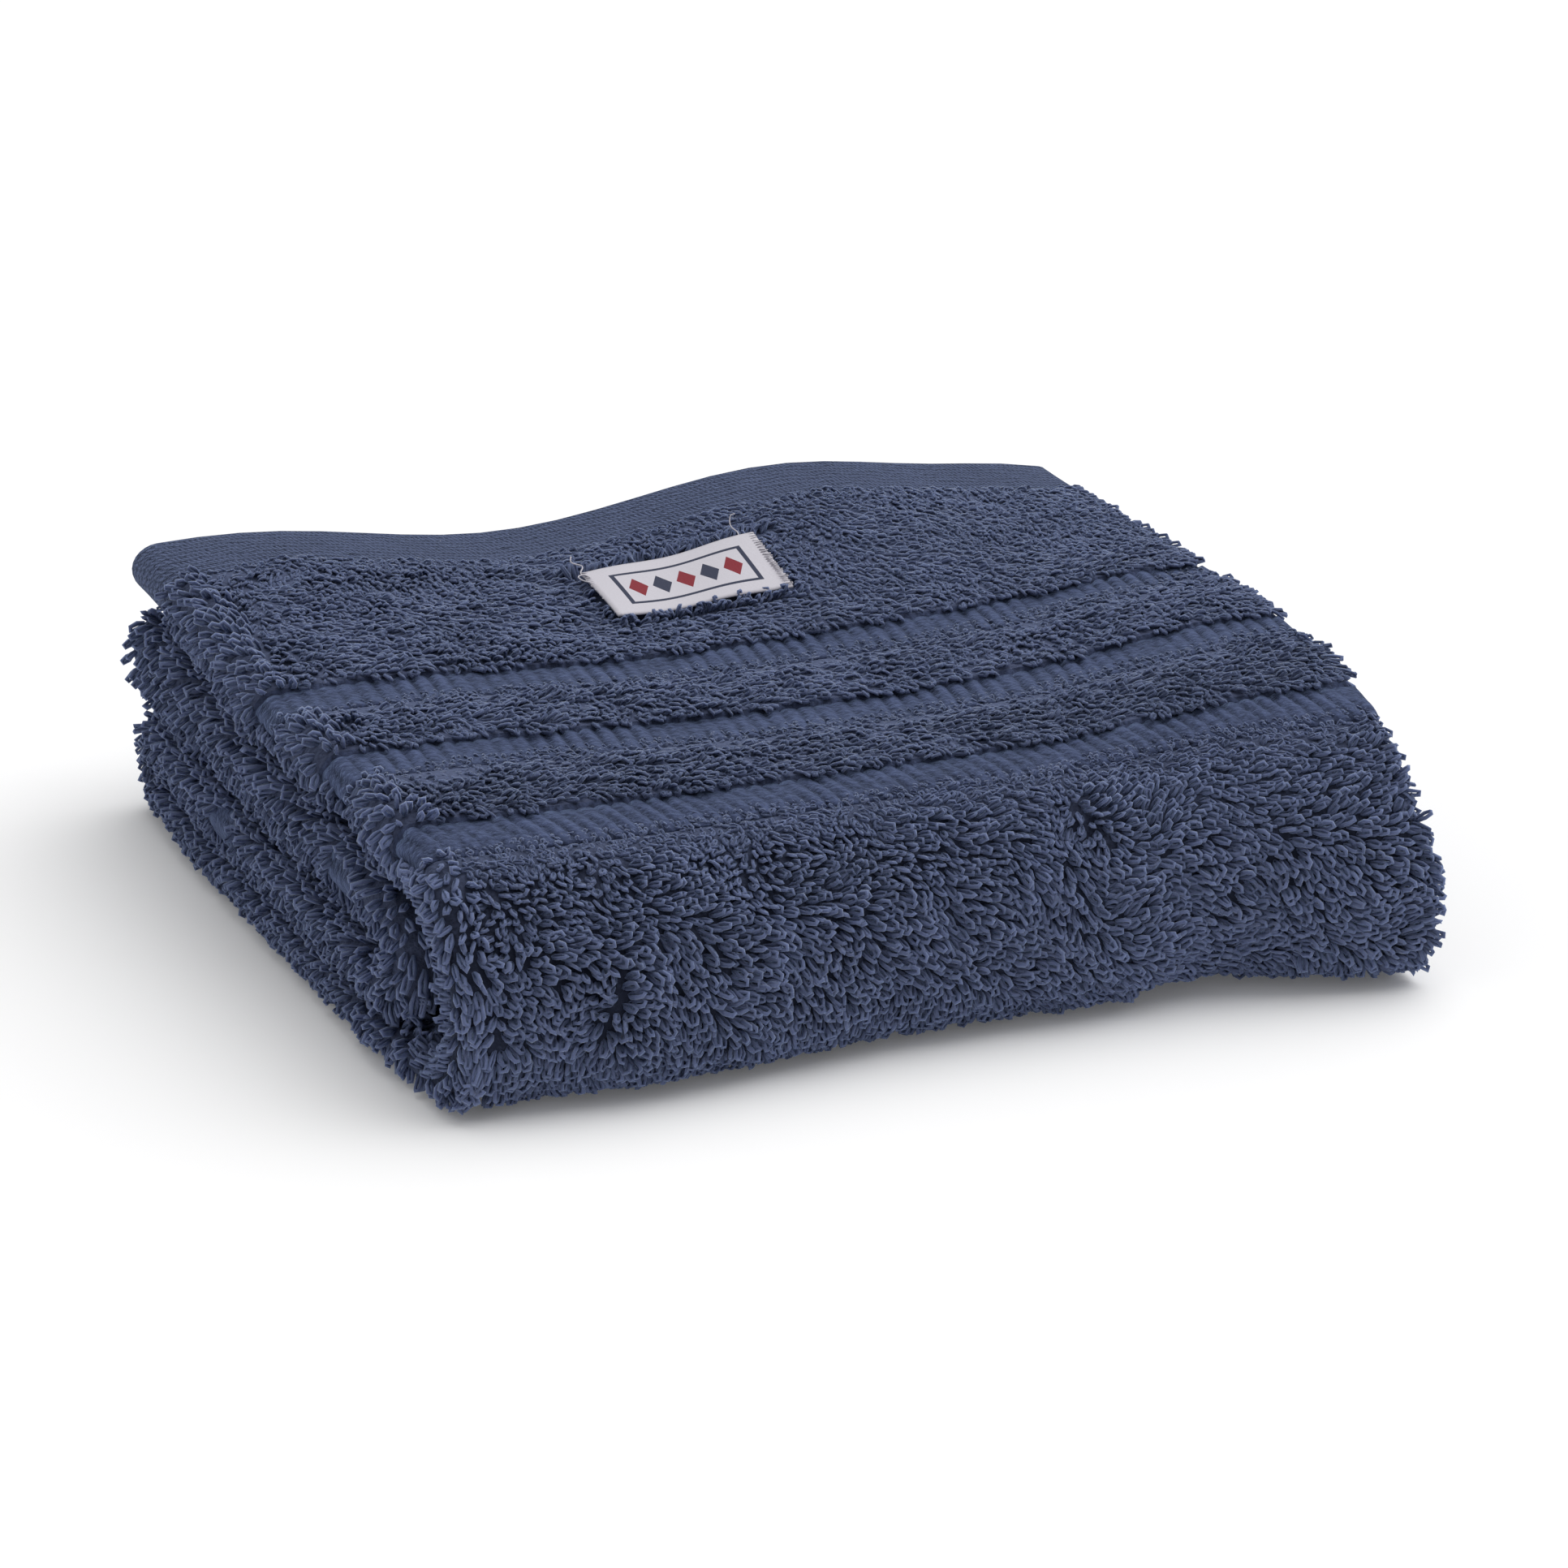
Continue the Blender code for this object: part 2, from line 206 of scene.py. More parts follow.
# The selvedges: loops are drawn in, and those from the band to the front turn are bold
EDGE_IN = 0.0020
EDGE_IN_REACH = 0.020
BOLD_EDGE_FROM = 0.117
BOLD_EDGE_LENGTH = 1.45
THREE_EDGE_LOOPS = 0.0065
EDGE_ROOT_DEPTH = 0.0008
# How deep a loop stands in the ground, and its least height over the floor
ROOT_DEPTH = 0.0003
FLOOR_CLEAR = 0.0002
# Whorls of the front, where the loops point away on all sides: x, z, reach
WHORLS = (
    (0.048, 0.050, 0.013),
    (-0.082, 0.020, 0.011),
)

# Flat patches among the loops of the left folds: along, across, half length, half height
FlatPatch = namedtuple("FlatPatch", "along across half_length half_height")
FLAT_PATCHES = (
    FlatPatch(0.5675, 0.2490, 0.0085, 0.0052),
    FlatPatch(0.7225, 0.2500, 0.0060, 0.0045),
)

# The woven label: a thin sheet that lies a little over the pile, sunk in at its front
LABEL_WIDTH = 0.047
LABEL_DEPTH = 0.031
LABEL_THICKNESS = 0.0008
LABEL_SHEET = 0.0005
LABEL_BUCKLE = 0.0004
LABEL_ACROSS = 0.1279
LABEL_ALONG = 0.0649
LABEL_TURN = math.radians(-1.5)
LABEL_SHEAR = -0.087
LABEL_FREE = 0.0003
LABEL_FRONT_SUNK = 0.0007
# Its pattern, from its middle: half sizes of the frame and of a diamond
LABEL_FRAME = (0.0178, 0.0098)
LABEL_FRAME_LINE = 0.0012
DIAMOND_HALF = (0.0026, 0.0056)
DIAMOND_PITCH = 0.0064
DIAMOND_ROW_HALF = 0.0160
WEFT_PITCH = 0.0005
STITCH_LOOPS = LoopSizes(0.0019, 0.0008, 0.00040, 6, math.pi / 6, 0.0)
STITCH_SPACING = 0.0013
STITCH_FROM_END = 0.0018
THREAD_RADIUS = 0.00017
# Loose thread ends, as places on the label from its middle: right, front, lift
LOOSE_THREADS = (
    ((-0.0215, -0.0110, 0.0006), (-0.0242, -0.0128, 0.0014), (-0.0228, -0.0158, 0.0022),
     (-0.0252, -0.0176, 0.0030), (-0.0246, -0.0196, 0.0042)),
    ((-0.0222, -0.0070, 0.0006), (-0.0250, -0.0082, 0.0013), (-0.0256, -0.0106, 0.0016),
     (-0.0236, -0.0120, 0.0014), (-0.0222, -0.0102, 0.0009)),
    ((0.0195, -0.0145, 0.0006), (0.0198, -0.0166, 0.0012), (0.0186, -0.0182, 0.0026),
     (0.0192, -0.0196, 0.0046), (0.0206, -0.0190, 0.0052)),
)


# ---------------------------------------------------------------- the fold
def stack_middles():
    """Height of the middle of each doubled run, the lowest on the surface."""
    middles, top = {}, -LAYER_GAP / 2
    for name in STACK_ORDER:
        middles[name] = top + RUN[name].pitch
        top += 2 * RUN[name].pitch
    return middles, top - LAYER_GAP / 2


MIDDLE, STACK_HEIGHT = stack_middles()
FOLD_LENGTH = math.pi * (RUN["top"].pitch - LAYER_GAP) / 2
ACROSS_RUN = (CLOTH_WIDTH - FOLD_LENGTH) / 2
BACK_Y = RUN["top"].start_y


def path_sections():
    """Stretches of the doubled cloth: along at start and end, run, next run or None."""
    sections, along = [], 0.0
    for run, following in zip(RUNS, RUNS[1:]):
        run_end = along + abs(following.start_y - run.start_y)
        half_height = abs(MIDDLE[following.name] - MIDDLE[run.name]) / 2
        turn = FRONT_TURN if run.name == "top" else math.pi * half_height
        sections.append((along, run_end, run.name, None))
        sections.append((run_end, run_end + turn, run.name, following.name))
        along = run_end + turn
    return sections + [(along, CLOTH_LENGTH, RUNS[-1].name, None)]


SECTIONS = path_sections()
FRONT_START, FRONT_END = SECTIONS[1][:2]
BACK_START, BACK_END = SECTIONS[3][:2]


def smooth(t):
    """0 below 0, 1 above 1, and an even S between."""
    t = min(max(t, 0.0), 1.0)
    return t * t * (3 - 2 * t)


def bell(t):
    """A soft round bump, 1 at its middle and close to 0 beyond 2."""
    return math.exp(-t * t)


def mix(a, b, share):
    """Value between two, or past them."""
    return a + (b - a) * share


def from_hem(along):
    """Distance to the nearer hem."""
    return min(along, CLOTH_LENGTH - along)


def zone_table(zones):
    """Kind, start and end of each zone, from its hem to the middle of the cloth."""
    table, start = [], 0.0
    for kind, width in zones:
        table.append((kind, start, start + width))
        start += width
    return table + [("pile", start, CLOTH_LENGTH / 2)]


OUTER_TABLE, INNER_TABLE = zone_table(ZONES), zone_table(INNER_ZONES)


def zone_at(along):
    """Kind of weave, and how far its zone starts and ends from the hem."""
    for zone in OUTER_TABLE if along < CLOTH_LENGTH / 2 else INNER_TABLE:
        if from_hem(along) < zone[2]:
            break
    return zone


def kind_at(along):
    """Kind of weave: hem, pile or band."""
    return zone_at(along)[0]


def pile_share(along):
    """Height of the pile: it starts softly after a flat weave and ends in a step."""
    kind, start, _ = zone_at(along)
    if kind != "pile":
        return 0.0
    grown = smooth((from_hem(along) - start) / SOFT_START)
    return mix(SOFT_START_HEIGHT, 1.0, grown)


def section_at(along):
    """Run, next run (or the same), share of the turn between them, way along the run."""
    for start, end, run, following in SECTIONS:
        if along <= end:
            break
    if following is None:
        return run, run, 0.0, along - start
    return run, following, (along - start) / (end - start), 0.0


def full_thickness(along):
    """Thickness of the cloth with its pile on both faces."""
    run, following, share, _ = section_at(along)
    turned = (1 - math.cos(math.pi * share)) / 2
    full = mix(RUN[run].pitch, RUN[following].pitch, turned) - LAYER_GAP
    if run == "top":
        full *= 1 - TURN_PRESS * math.sin(math.pi * share)
    elif share > 0:
        full = min(full, (RUN[run].pitch + RUN[following].pitch) / 2 - LAYER_GAP)
    return full


def pile_room(along):
    """Height that is left for the loops on one face."""
    return min(PILE_HEIGHT, PILE_SHARE_MOST * full_thickness(along))


def ground_shape(along):
    """Thickness of the woven ground and how far its middle sinks."""
    by_hem = from_hem(along) < HEM_TUFTS_END
    flat, sink = (HEM_THICKNESS, HEM_SINK) if by_hem else (BAND_THICKNESS, BAND_SINK)
    if along > CLOTH_LENGTH / 2:
        sink = 0.0
    share = pile_share(along)
    ground = full_thickness(along) - 2 * pile_room(along)
    return mix(flat, ground, share), mix(sink, 0.0, share)


def crosswise(across):
    """Run to the right of the left fold and angle round it, for a place across."""
    from_fold = CLOTH_WIDTH / 2 - across
    if abs(from_fold) > FOLD_LENGTH / 2:
        return abs(from_fold) - FOLD_LENGTH / 2, math.copysign(math.pi / 2, from_fold)
    return 0.0, from_fold / FOLD_LENGTH * math.pi


def height_shares(z):
    """Share of the slump of the top, and of the foot, for a height in the stack."""
    floor_top = RUN["floor"].pitch
    above = smooth((z - floor_top) / (STACK_HEIGHT - 1.5 * floor_top))
    return above, 1 - min(z / STACK_HEIGHT, 1.0)


def top_lift(x, y):
    """Rise of the top over the even stack."""
    lift = BACK_RISE * smooth((y + BACK_Y) / (2 * BACK_Y))
    for _, centre_x, centre_y, reach_x, reach_y, height in TOP_SHAPES:
        lift += height * bell((x - centre_x) / reach_x) * bell((y - centre_y) / reach_y)
    return lift


def settle(x, y, z):
    """Slump of the square fold: waves of the top, its two ends and the front foot."""
    above, low = height_shares(z)
    lift = top_lift(x, y)
    left = smooth((LEFT_FROM - x) / LEFT_REACH)
    right = smooth((x - RIGHT_FROM) / RIGHT_REACH)
    front = smooth((FRONT_FROM - y) / FRONT_REACH)
    front_corner = smooth((-y - CORNER_FROM) / CORNER_REACH)
    back_corner = smooth((y - CORNER_FROM) / CORNER_REACH)
    bulge = bell((y - LEFT_BULGE_Y) / LEFT_BULGE_REACH)
    back = sum(depth * bell((x - centre_x) / reach_x)
               for _, centre_x, reach_x, depth in FRONT_WAVES)
    x += left * (low * FOOT_CORNER * front_corner + low ** 2 * BACK_CORNER_IN * back_corner
                 - above * LEFT_BULGE * bulge - above ** 4 * BACK_LEFT_OUT * back_corner)
    x -= right * mix(RIGHT_IN, -RIGHT_FOOT * front, low)
    under = FOOT_LIFT * bell((x - FOOT_LIFT_X) / FOOT_LIFT_REACH) * front_corner
    y += right * RIGHT_DRIFT * bulge
    y += front * (back * mix(0.35, 1.0, low) - FOOT_FORWARD * low)
    z += UNDER_CLEAR + above * lift + (1 - above) * under
    return Vector((x + CENTRE_SHIFT, y, z))


def cloth_point(across, along, lift=0.0):
    """Place of the cloth's middle surface; `lift` moves it to the side of its face."""
    run, following, share, travelled = section_at(along)
    distance, angle = crosswise(across)
    _, pitch, side, left, start_y = RUN[run]
    _, next_pitch, next_side, next_left, turn_y = RUN[following]
    height = MIDDLE[run] + side * (pitch / 2 + lift) * math.sin(angle)
    next_height = MIDDLE[following] + next_side * (next_pitch / 2 + lift) * math.sin(angle)
    turned = (1 - math.cos(math.pi * share)) / 2
    z = mix(height, next_height, turned)
    forward = -1 if run in ("top", "third") else 1
    if share > 0:
        reach = abs(height - next_height) / 2
        bulge = math.sin(math.pi * share)
        if run == "top" and share > 0.5:
            bulge = bulge ** FOOT_SQUARE
        y = turn_y + forward * reach * bulge
    else:
        y = start_y + forward * travelled
    half = mix(pitch, next_pitch, turned) / 2
    fold_x = mix(left, next_left, turned) + 2 * half - LAYER_GAP / 2
    x = fold_x - (half + lift) * math.cos(angle) + distance
    wave = STAGGER_WAVES * z / STACK_HEIGHT + 3 * y / BACK_Y
    x += EDGE_STAGGER * math.sin(wave) * smooth(distance / ACROSS_RUN)
    if run == "top":
        under = (1 - math.sin(angle)) / 2 * smooth(1 - distance / BAND_DRIFT_REACH)
        y += BAND_DRIFT * under * smooth((y - BAND_DRIFT_FROM) / FRONT_REACH)
    return settle(x, y, z)


Spot = namedtuple("Spot", "place out onward rightward")


def spot_on(across, along, lift, face=1):
    """A place on the cloth with the directions out of it, onward along it and across."""
    step = 0.0004
    place = cloth_point(across, along, lift)
    onward = cloth_point(across, along + step, lift) - place
    rightward = cloth_point(across - step, along, lift) - place
    out = onward.cross(rightward).normalized()
    if out.dot(cloth_point(across, along, lift + face * step) - place) < 0:
        out.negate()
    return Spot(place, out, onward.normalized(), rightward.normalized())


# ---------------------------------------------------------------- node trees
def operation(kind, swapped=False):
    """A method of Number that adds a Math node of this kind and gives its result."""
    def apply(number, other=0.0):
        first, second = (other, number) if swapped else (number, other)
        return number.graph.number("ShaderNodeMath", {"operation": kind}, {0: first, 1: second})
    return apply


class Number:
    """A number socket of a node tree; sums and products of it add Math nodes."""

    def __init__(self, graph, socket):
        self.graph = graph
        self.socket = socket

    __add__, __radd__ = operation("ADD"), operation("ADD", swapped=True)
    __sub__, __rsub__ = operation("SUBTRACT"), operation("SUBTRACT", swapped=True)
    __mul__, __rmul__ = operation("MULTIPLY"), operation("MULTIPLY", swapped=True)
    __truediv__, __rtruediv__ = operation("DIVIDE"), operation("DIVIDE", swapped=True)
    above, below, power = operation("GREATER_THAN"), operation("LESS_THAN"), operation("POWER")
    sine, size = operation("SINE"), operation("ABSOLUTE")
    fraction, floor = operation("FRACT"), operation("FLOOR")

    def clamped(self):
        return self.graph.number("ShaderNodeClamp", {}, {"Value": self})


class Graph:
    """A node tree with one way to add a node."""

    def __init__(self, tree):
        self.tree = tree

    def node(self, kind, settings, feeds):
        """Add a node: its settings first, then a value or a link for each input."""
        made = self.tree.nodes.new(kind)
        for name, value in settings.items():
            setattr(made, name, value)
        for key, value in feeds.items():
            self.feed(made.inputs[key], value)
        return made

    def feed(self, socket, value):
        """Link a number, a socket or a node's first output, or set a value or an RGB colour."""
        if isinstance(value, Number):
            value = value.socket
        if isinstance(value, bpy.types.Node):
            value = value.outputs[0]
        if isinstance(value, bpy.types.NodeSocket):
            self.tree.links.new(value, socket)
        else:
            socket.default_value = (*value, 1.0) if socket.type == "RGBA" else value

    def number(self, kind, settings, feeds, output=0):
        return Number(self, self.node(kind, settings, feeds).outputs[output])

    def parts(self, vector):
        """The three numbers of a vector."""
        split = self.node("ShaderNodeSeparateXYZ", {}, {0: vector})
        return [Number(self, output) for output in split.outputs]


class Shader(Graph):
    """A material's node tree around its Principled shader."""

    def __init__(self, name):
        self.material = bpy.data.materials.new(name)
        self.material.use_nodes = True
        super().__init__(self.material.node_tree)
        self.principled = self.tree.nodes["Principled BSDF"]
        self.place = self.node("ShaderNodeTexCoord", {}, {}).outputs["Object"]

    def attribute(self, name):
        return self.number("ShaderNodeAttribute", {"attribute_name": name}, {}, "Fac")

    def cloth_uv(self):
        """The sheet's own two coordinates, as its UV map holds them."""
        return self.parts(self.node("ShaderNodeUVMap", {"uv_map": "cloth"}, {}))[:2]

    def noise(self, per_metre, detail=2.0, contrast=1.0):
        """Noise round 0.5 with this many waves to a metre."""
        plain = self.number("ShaderNodeTexNoise", {}, {
            "Vector": self.place, "Scale": per_metre, "Detail": detail}, "Fac")
        return (plain - 0.5) * contrast + 0.5

    def blend(self, share, first, second):
        """Colour between two colours."""
        settings = {"data_type": "RGBA", "clamp_factor": True}
        return self.node("ShaderNodeMix", settings, {0: share, 6: first, 7: second}).outputs[2]

    def put(self, feeds):
        """A value or a link for inputs of the Principled shader."""
        for name, value in feeds.items():
            self.feed(self.principled.inputs[name], value)

    def bump(self, height, distance, strength=1.0):
        self.put({"Normal": self.node("ShaderNodeBump", {}, {
            "Height": height, "Distance": distance, "Strength": strength})})

    def soften(self, weight, reach):
        """Light passes through the cotton over a short way."""
        self.put({"Subsurface Weight": weight, "Subsurface Scale": reach,
                  "Subsurface Radius": (0.7, 0.8, 1.0)})

    def finish(self, colour, roughness=0.9, sheen=0.3, sheen_roughness=0.4,
               sheen_tint=(0.45, 0.60, 1.0), specular=0.12):
        """Feed the colour and set the shader's constants."""
        self.put({"Base Color": colour, "Roughness": roughness, "Specular IOR Level": specular,
                  "Sheen Weight": sheen, "Sheen Roughness": sheen_roughness,
                  "Sheen Tint": sheen_tint})
        return self.material


# ---------------------------------------------------------------- finishes
NAVY = (0.072, 0.089, 0.160)
BAND_NAVY = (0.072, 0.094, 0.186)
# Darkest and lightest navy of the yarn: painted shade at the roots goes towards the first, painted
# highlight at the tips and rims towards the second
NAVY_DEEP = (0.036, 0.045, 0.083)
NAVY_TIP = (0.136, 0.166, 0.292)
WHITE = (0.64, 0.62, 0.68)
THREAD_RED = (0.23, 0.022, 0.034)
THREAD_NAVY = (0.035, 0.042, 0.078)


def scaled(base, strength):
    """A colour made darker or lighter."""
    return tuple(strength * part for part in base)


def loop_finish():
    """Terry yarn: painted shade at the root, light at the tip, a painted highlight on the yarn's
    outer rim, each loop a little different.
    """
    shader = Shader("Terry loops")
    reach, rim, tone, depth = [
        shader.attribute(name) for name in ("reach", "rim", "tone", "depth")]
    mottle = shader.noise(55.0, 3.0, 2.0)
    # Painted shade at the root and painted highlight at the tip and rim, as strong as the loop's
    # painted contrast
    share = tone + (reach * 0.40 + rim * 0.36 - 0.40) * depth + (mottle - 0.5) * 0.30
    body = shader.blend(share.clamped(), NAVY_DEEP, NAVY_TIP)
    shader.bump(shader.noise(2600.0), 0.0004, 0.5)
    shader.soften(0.45, 0.0012)
    return shader.finish(body, sheen=0.45)


def ground_finish():
    """Woven ground between the loops, darkened by painted shade where shade falls between them."""
    shader = Shader("Terry ground")
    fuzz = shader.noise(900.0, 3.0)
    # Painted shade: the stored shade value darkens the ground towards half the deepest navy
    share = (fuzz * 0.6 - shader.attribute("shade") * 0.5 + 0.18).clamped()
    body = shader.blend(share, scaled(NAVY_DEEP, 0.5), NAVY_TIP)
    shader.bump(fuzz, 0.0008, 0.8)
    return shader.finish(body, sheen=0.2)


def hem_finish():
    """Hem: fine rows of small slanted stitches of the weave, with painted shade between the
    stitches.
    """
    shader = Shader("Hem weave")
    across, along = shader.cloth_uv()
    rows = along / HEM_ROW_PITCH + across * HEM_ROW_SLANT + shader.noise(160.0, 2.0, 1.6)
    dash = across / HEM_STITCH_PITCH + rows.floor() * 0.37 + rows.fraction() * 0.9
    ridge = (rows.fraction() - 0.5).size() * -2.0 + 1.0
    bead = (dash.fraction() - 0.5).size() * -2.0 + 1.0
    weave = ridge.power(0.6) * (bead * 0.80 + 0.20)
    fuzz = shader.noise(1500.0, 2.0, 2.2)
    mottle = shader.noise(45.0, 2.0, 2.0)
    # Painted shade: the weave's relief darkens the colour between the stitches, on top of random
    # fuzz and mottle
    share = (weave * 2.00 + fuzz * 1.10 + mottle * 0.25 - 0.80).clamped()
    body = shader.blend(share, scaled(NAVY, 0.40), scaled(NAVY, 1.66))
    shader.bump(weave + fuzz * 0.7, 0.0011, 1.0)
    return shader.finish(body, sheen=0.35)


def band_finish():
    """Flat bands: a soft, fuzzy face on low ribs, with painted shade in the grooves between them.
    """
    shader = Shader("Band weave")
    rib = shader.attribute("rib")
    fuzz = shader.noise(700.0, 4.0, 3.2)
    mottle = shader.noise(70.0, 2.0, 2.0)
    # Painted shade: the rib value darkens the grooves between the ribs
    share = (rib * 1.20 + fuzz * 0.60 + mottle * 0.30 - 0.76).clamped()
    body = shader.blend(share, scaled(BAND_NAVY, 0.28), BAND_NAVY)
    shader.bump(fuzz, 0.0003, 0.9)
    return shader.finish(body, sheen=0.45)


def label_finish():
    """White woven label: a thin navy frame round a row of small diamonds."""
    shader = Shader("Label weave")
    across, along = shader.cloth_uv()
    right = (across - 0.5) * LABEL_WIDTH
    front = (along - 0.5) * LABEL_DEPTH
    right_size, front_size = right.size(), front.size()
    frame_x, frame_y = LABEL_FRAME
    inside = right_size.below(frame_x) * front_size.below(frame_y)
    hollow = (right_size.below(frame_x - LABEL_FRAME_LINE)
              * front_size.below(frame_y - LABEL_FRAME_LINE))
    cell = right / DIAMOND_PITCH + 0.5
    from_middle = (cell.fraction() - 0.5).size() * DIAMOND_PITCH
    diamond = (from_middle / DIAMOND_HALF[0] + front_size / DIAMOND_HALF[1]).below(1.0)
    diamond = diamond * right_size.below(DIAMOND_ROW_HALF)
    odd = (cell.floor() / 2.0).fraction().size().above(0.25)
    fine = shader.noise(2500.0, 1.0)
    weft = (along * (LABEL_DEPTH / WEFT_PITCH) * math.pi).sine().size()
    white = shader.blend(fine, scaled(WHITE, 0.86), WHITE)
    motif = shader.blend(odd, THREAD_RED, THREAD_NAVY)
    body = shader.blend(inside - hollow, white, THREAD_NAVY)
    body = shader.blend(diamond, body, motif)
    shader.bump(weft * 0.6 + fine * 0.4, 0.00012, 0.6)
    return shader.finish(body, roughness=0.75, sheen=0.1, sheen_tint=(1.0, 1.0, 1.0))


def thread_finish():
    """Plain white cotton thread."""
    shader = Shader("White thread")
    fine = shader.noise(3000.0, 1.0)
    body = shader.blend(fine, scaled(WHITE, 0.85), WHITE)
    return shader.finish(body, roughness=0.7, sheen=0.1, sheen_tint=(1.0, 1.0, 1.0))


# ---------------------------------------------------------------- meshes
def add_object(name, data):
    """A new object in the scene, at the origin."""
    made = bpy.data.objects.new(name, data)
    bpy.context.scene.collection.objects.link(made)
    return made


def mesh_object(name, vertices, faces, materials, face_materials=None):
    """A smooth mesh object at the origin."""
    mesh = bpy.data.meshes.new(name)
    mesh.from_pydata(vertices, [], faces)
    for material in materials:
        mesh.materials.append(material)
    if face_materials:
        mesh.polygons.foreach_set("material_index", face_materials)
    mesh.shade_smooth()
    return add_object(name, mesh)


def closed_sheet(name, columns, rows, place, materials, kind_of_row=None):
    """A thin closed sheet: `place(column, row, side)` gives its upper (1) and lower (0) face."""
    width, height = len(columns), len(rows)
    vertices, uvs = [], []
    for side in (1, 0):
        for row in rows:
            for column in columns:
                vertices.append(place(column, row, side))
                uvs.append((column, row))
    under = width * height
    faces, kinds = [], []

    def add(a, b, c, d, row):
        faces.append((a, b, c, d))
        kinds.append(kind_of_row((rows[row] + rows[row + 1]) / 2) if kind_of_row else 0)

    for row in range(height - 1):
        for column in range(width - 1):
            a = row * width + column
            add(a, a + width, a + width + 1, a + 1, row)
            add(under + a, under + a + 1, under + a + width + 1, under + a + width, row)
        left, right = row * width, row * width + width - 1
        add(left, under + left, under + left + width, left + width, row)
        add(right, right + width, under + right + width, under + right, row)
    for column in range(width - 1):
        near, far = column, (height - 1) * width + column
        add(near, near + 1, under + near + 1, under + near, 0)
        add(far, under + far, under + far + 1, far + 1, height - 2)
    made = mesh_object(name, vertices, faces, materials, kinds)
    layer = made.data.uv_layers.new(name="cloth")
    for loop in made.data.loops:
        layer.data[loop.index].uv = uvs[loop.vertex_index]
    return made


def point_attribute(made, name, kind, field, values):
    """Store one value for each vertex."""
    attribute = made.data.attributes.new(name, kind, "POINT")
    attribute.data.foreach_set(field, values)


def filled(stops, step):
    """The stops, with even steps no longer than `step` between them."""
    places = [stops[0]]
    for end in stops[1:]:
        count = max(1, math.ceil((end - places[-1]) / step))
        start = places[-1]
        places += [start + (end - start) * i / count for i in range(1, count + 1)]
    return places


def edge_stops(length):
    """Places near the two cut edges of the cloth, where it is rounded."""
    near = [0.0, 0.0002, 0.0007, 0.0014, EDGE_ROUND]
    return near, [length - stop for stop in reversed(near)]


def rounding(distance):
    """Share of the thickness near an edge, as a quarter round."""
    inward = 1 - min(distance / EDGE_ROUND, 1.0)
    return math.sqrt(max(1 - inward * inward, 0.02))


def zone_stops():
    """Places along the cloth where its weave changes, from both hems."""
    stops = []
    for _, _, end in OUTER_TABLE[:-1]:
        stops += [end - 0.0002, end + 0.0006]
    for _, _, end in INNER_TABLE[:-1]:
        stops += [CLOTH_LENGTH - end + 0.0002, CLOTH_LENGTH - end - 0.0006]
    return sorted(stops)


ZONE_MATERIALS = {"pile": 0, "hem": 1, "band": 2}


def painted_ground_shade(across, along):
    """Painted shade of the ground: light on top, less so on the left folds, dark elsewhere."""
    if along < FRONT_START:
        return 0.4 * smooth((across - ACROSS_RUN + 0.004) / 0.006)
    if along < FRONT_END:
        return mix(0.3, 1.0, smooth((along - 0.205) / 0.035))
    return 0.4 if ACROSS_RUN - 0.012 < across < ACROSS_RUN + FOLD_LENGTH + 0.018 else 1.0


def make_ground():
    """The woven cloth below the loops, hems and bands included, as one closed sheet."""
    first, last = edge_stops(CLOTH_LENGTH)
    turns = [stop for start, end, _, following in SECTIONS if following for stop in (start, end)]
    stops = sorted(first + zone_stops() + turns + last)
    rows = filled(stops, 0.0085)
    first, last = edge_stops(CLOTH_WIDTH)
    fold = [ACROSS_RUN + FOLD_LENGTH * i / 12 for i in range(13)]
    columns = filled(first + fold[:1], 0.0105) + fold[1:-1] + filled(fold[-1:] + last, 0.020)

    def place(across, along, side):
        thickness, sink = ground_shape(along)
        edge = min(across, CLOTH_WIDTH - across)
        thickness *= rounding(edge) * rounding(from_hem(along))
        drawn_in = EDGE_IN * smooth(2 * pile_share(along)) * max(0.0, 1 - edge / EDGE_IN_REACH)
        across += drawn_in if across < CLOTH_WIDTH / 2 else -drawn_in
        return cloth_point(across, along, -sink + (side - 0.5) * thickness)

    finishes = [ground_finish(), hem_finish(), band_finish()]
    ground = closed_sheet("terry_ground", columns, rows, place, finishes,
                          lambda along: ZONE_MATERIALS[kind_at(along)])
    point_attribute(ground, "rib", "FLOAT", "value", [0.5] * len(ground.data.vertices))
    # Painted shade of the ground, one value for each vertex
    painted_shades = [painted_ground_shade(column, row) for _ in (1, 0) for row in rows for column in columns]
    point_attribute(ground, "shade", "FLOAT", "value", painted_shades)
    return ground


# ---------------------------------------------------------------- pile
Tuft = namedtuple("Tuft", "place turn size tone depth kind")
random_source = random.Random(7)
between = random_source.uniform


def scatter(spread):
    """A random number round 0 with this spread."""
    return random_source.gauss(0, spread)


def wander(point, reach, seed):
    """Smooth noise from -1 to 1 that turns over about `reach`."""
    shift = Vector((seed * 3.1, seed * 1.7, seed * 5.3))
    return max(-1.0, min(1.0, 1.6 * noise.noise(point / reach + shift)))


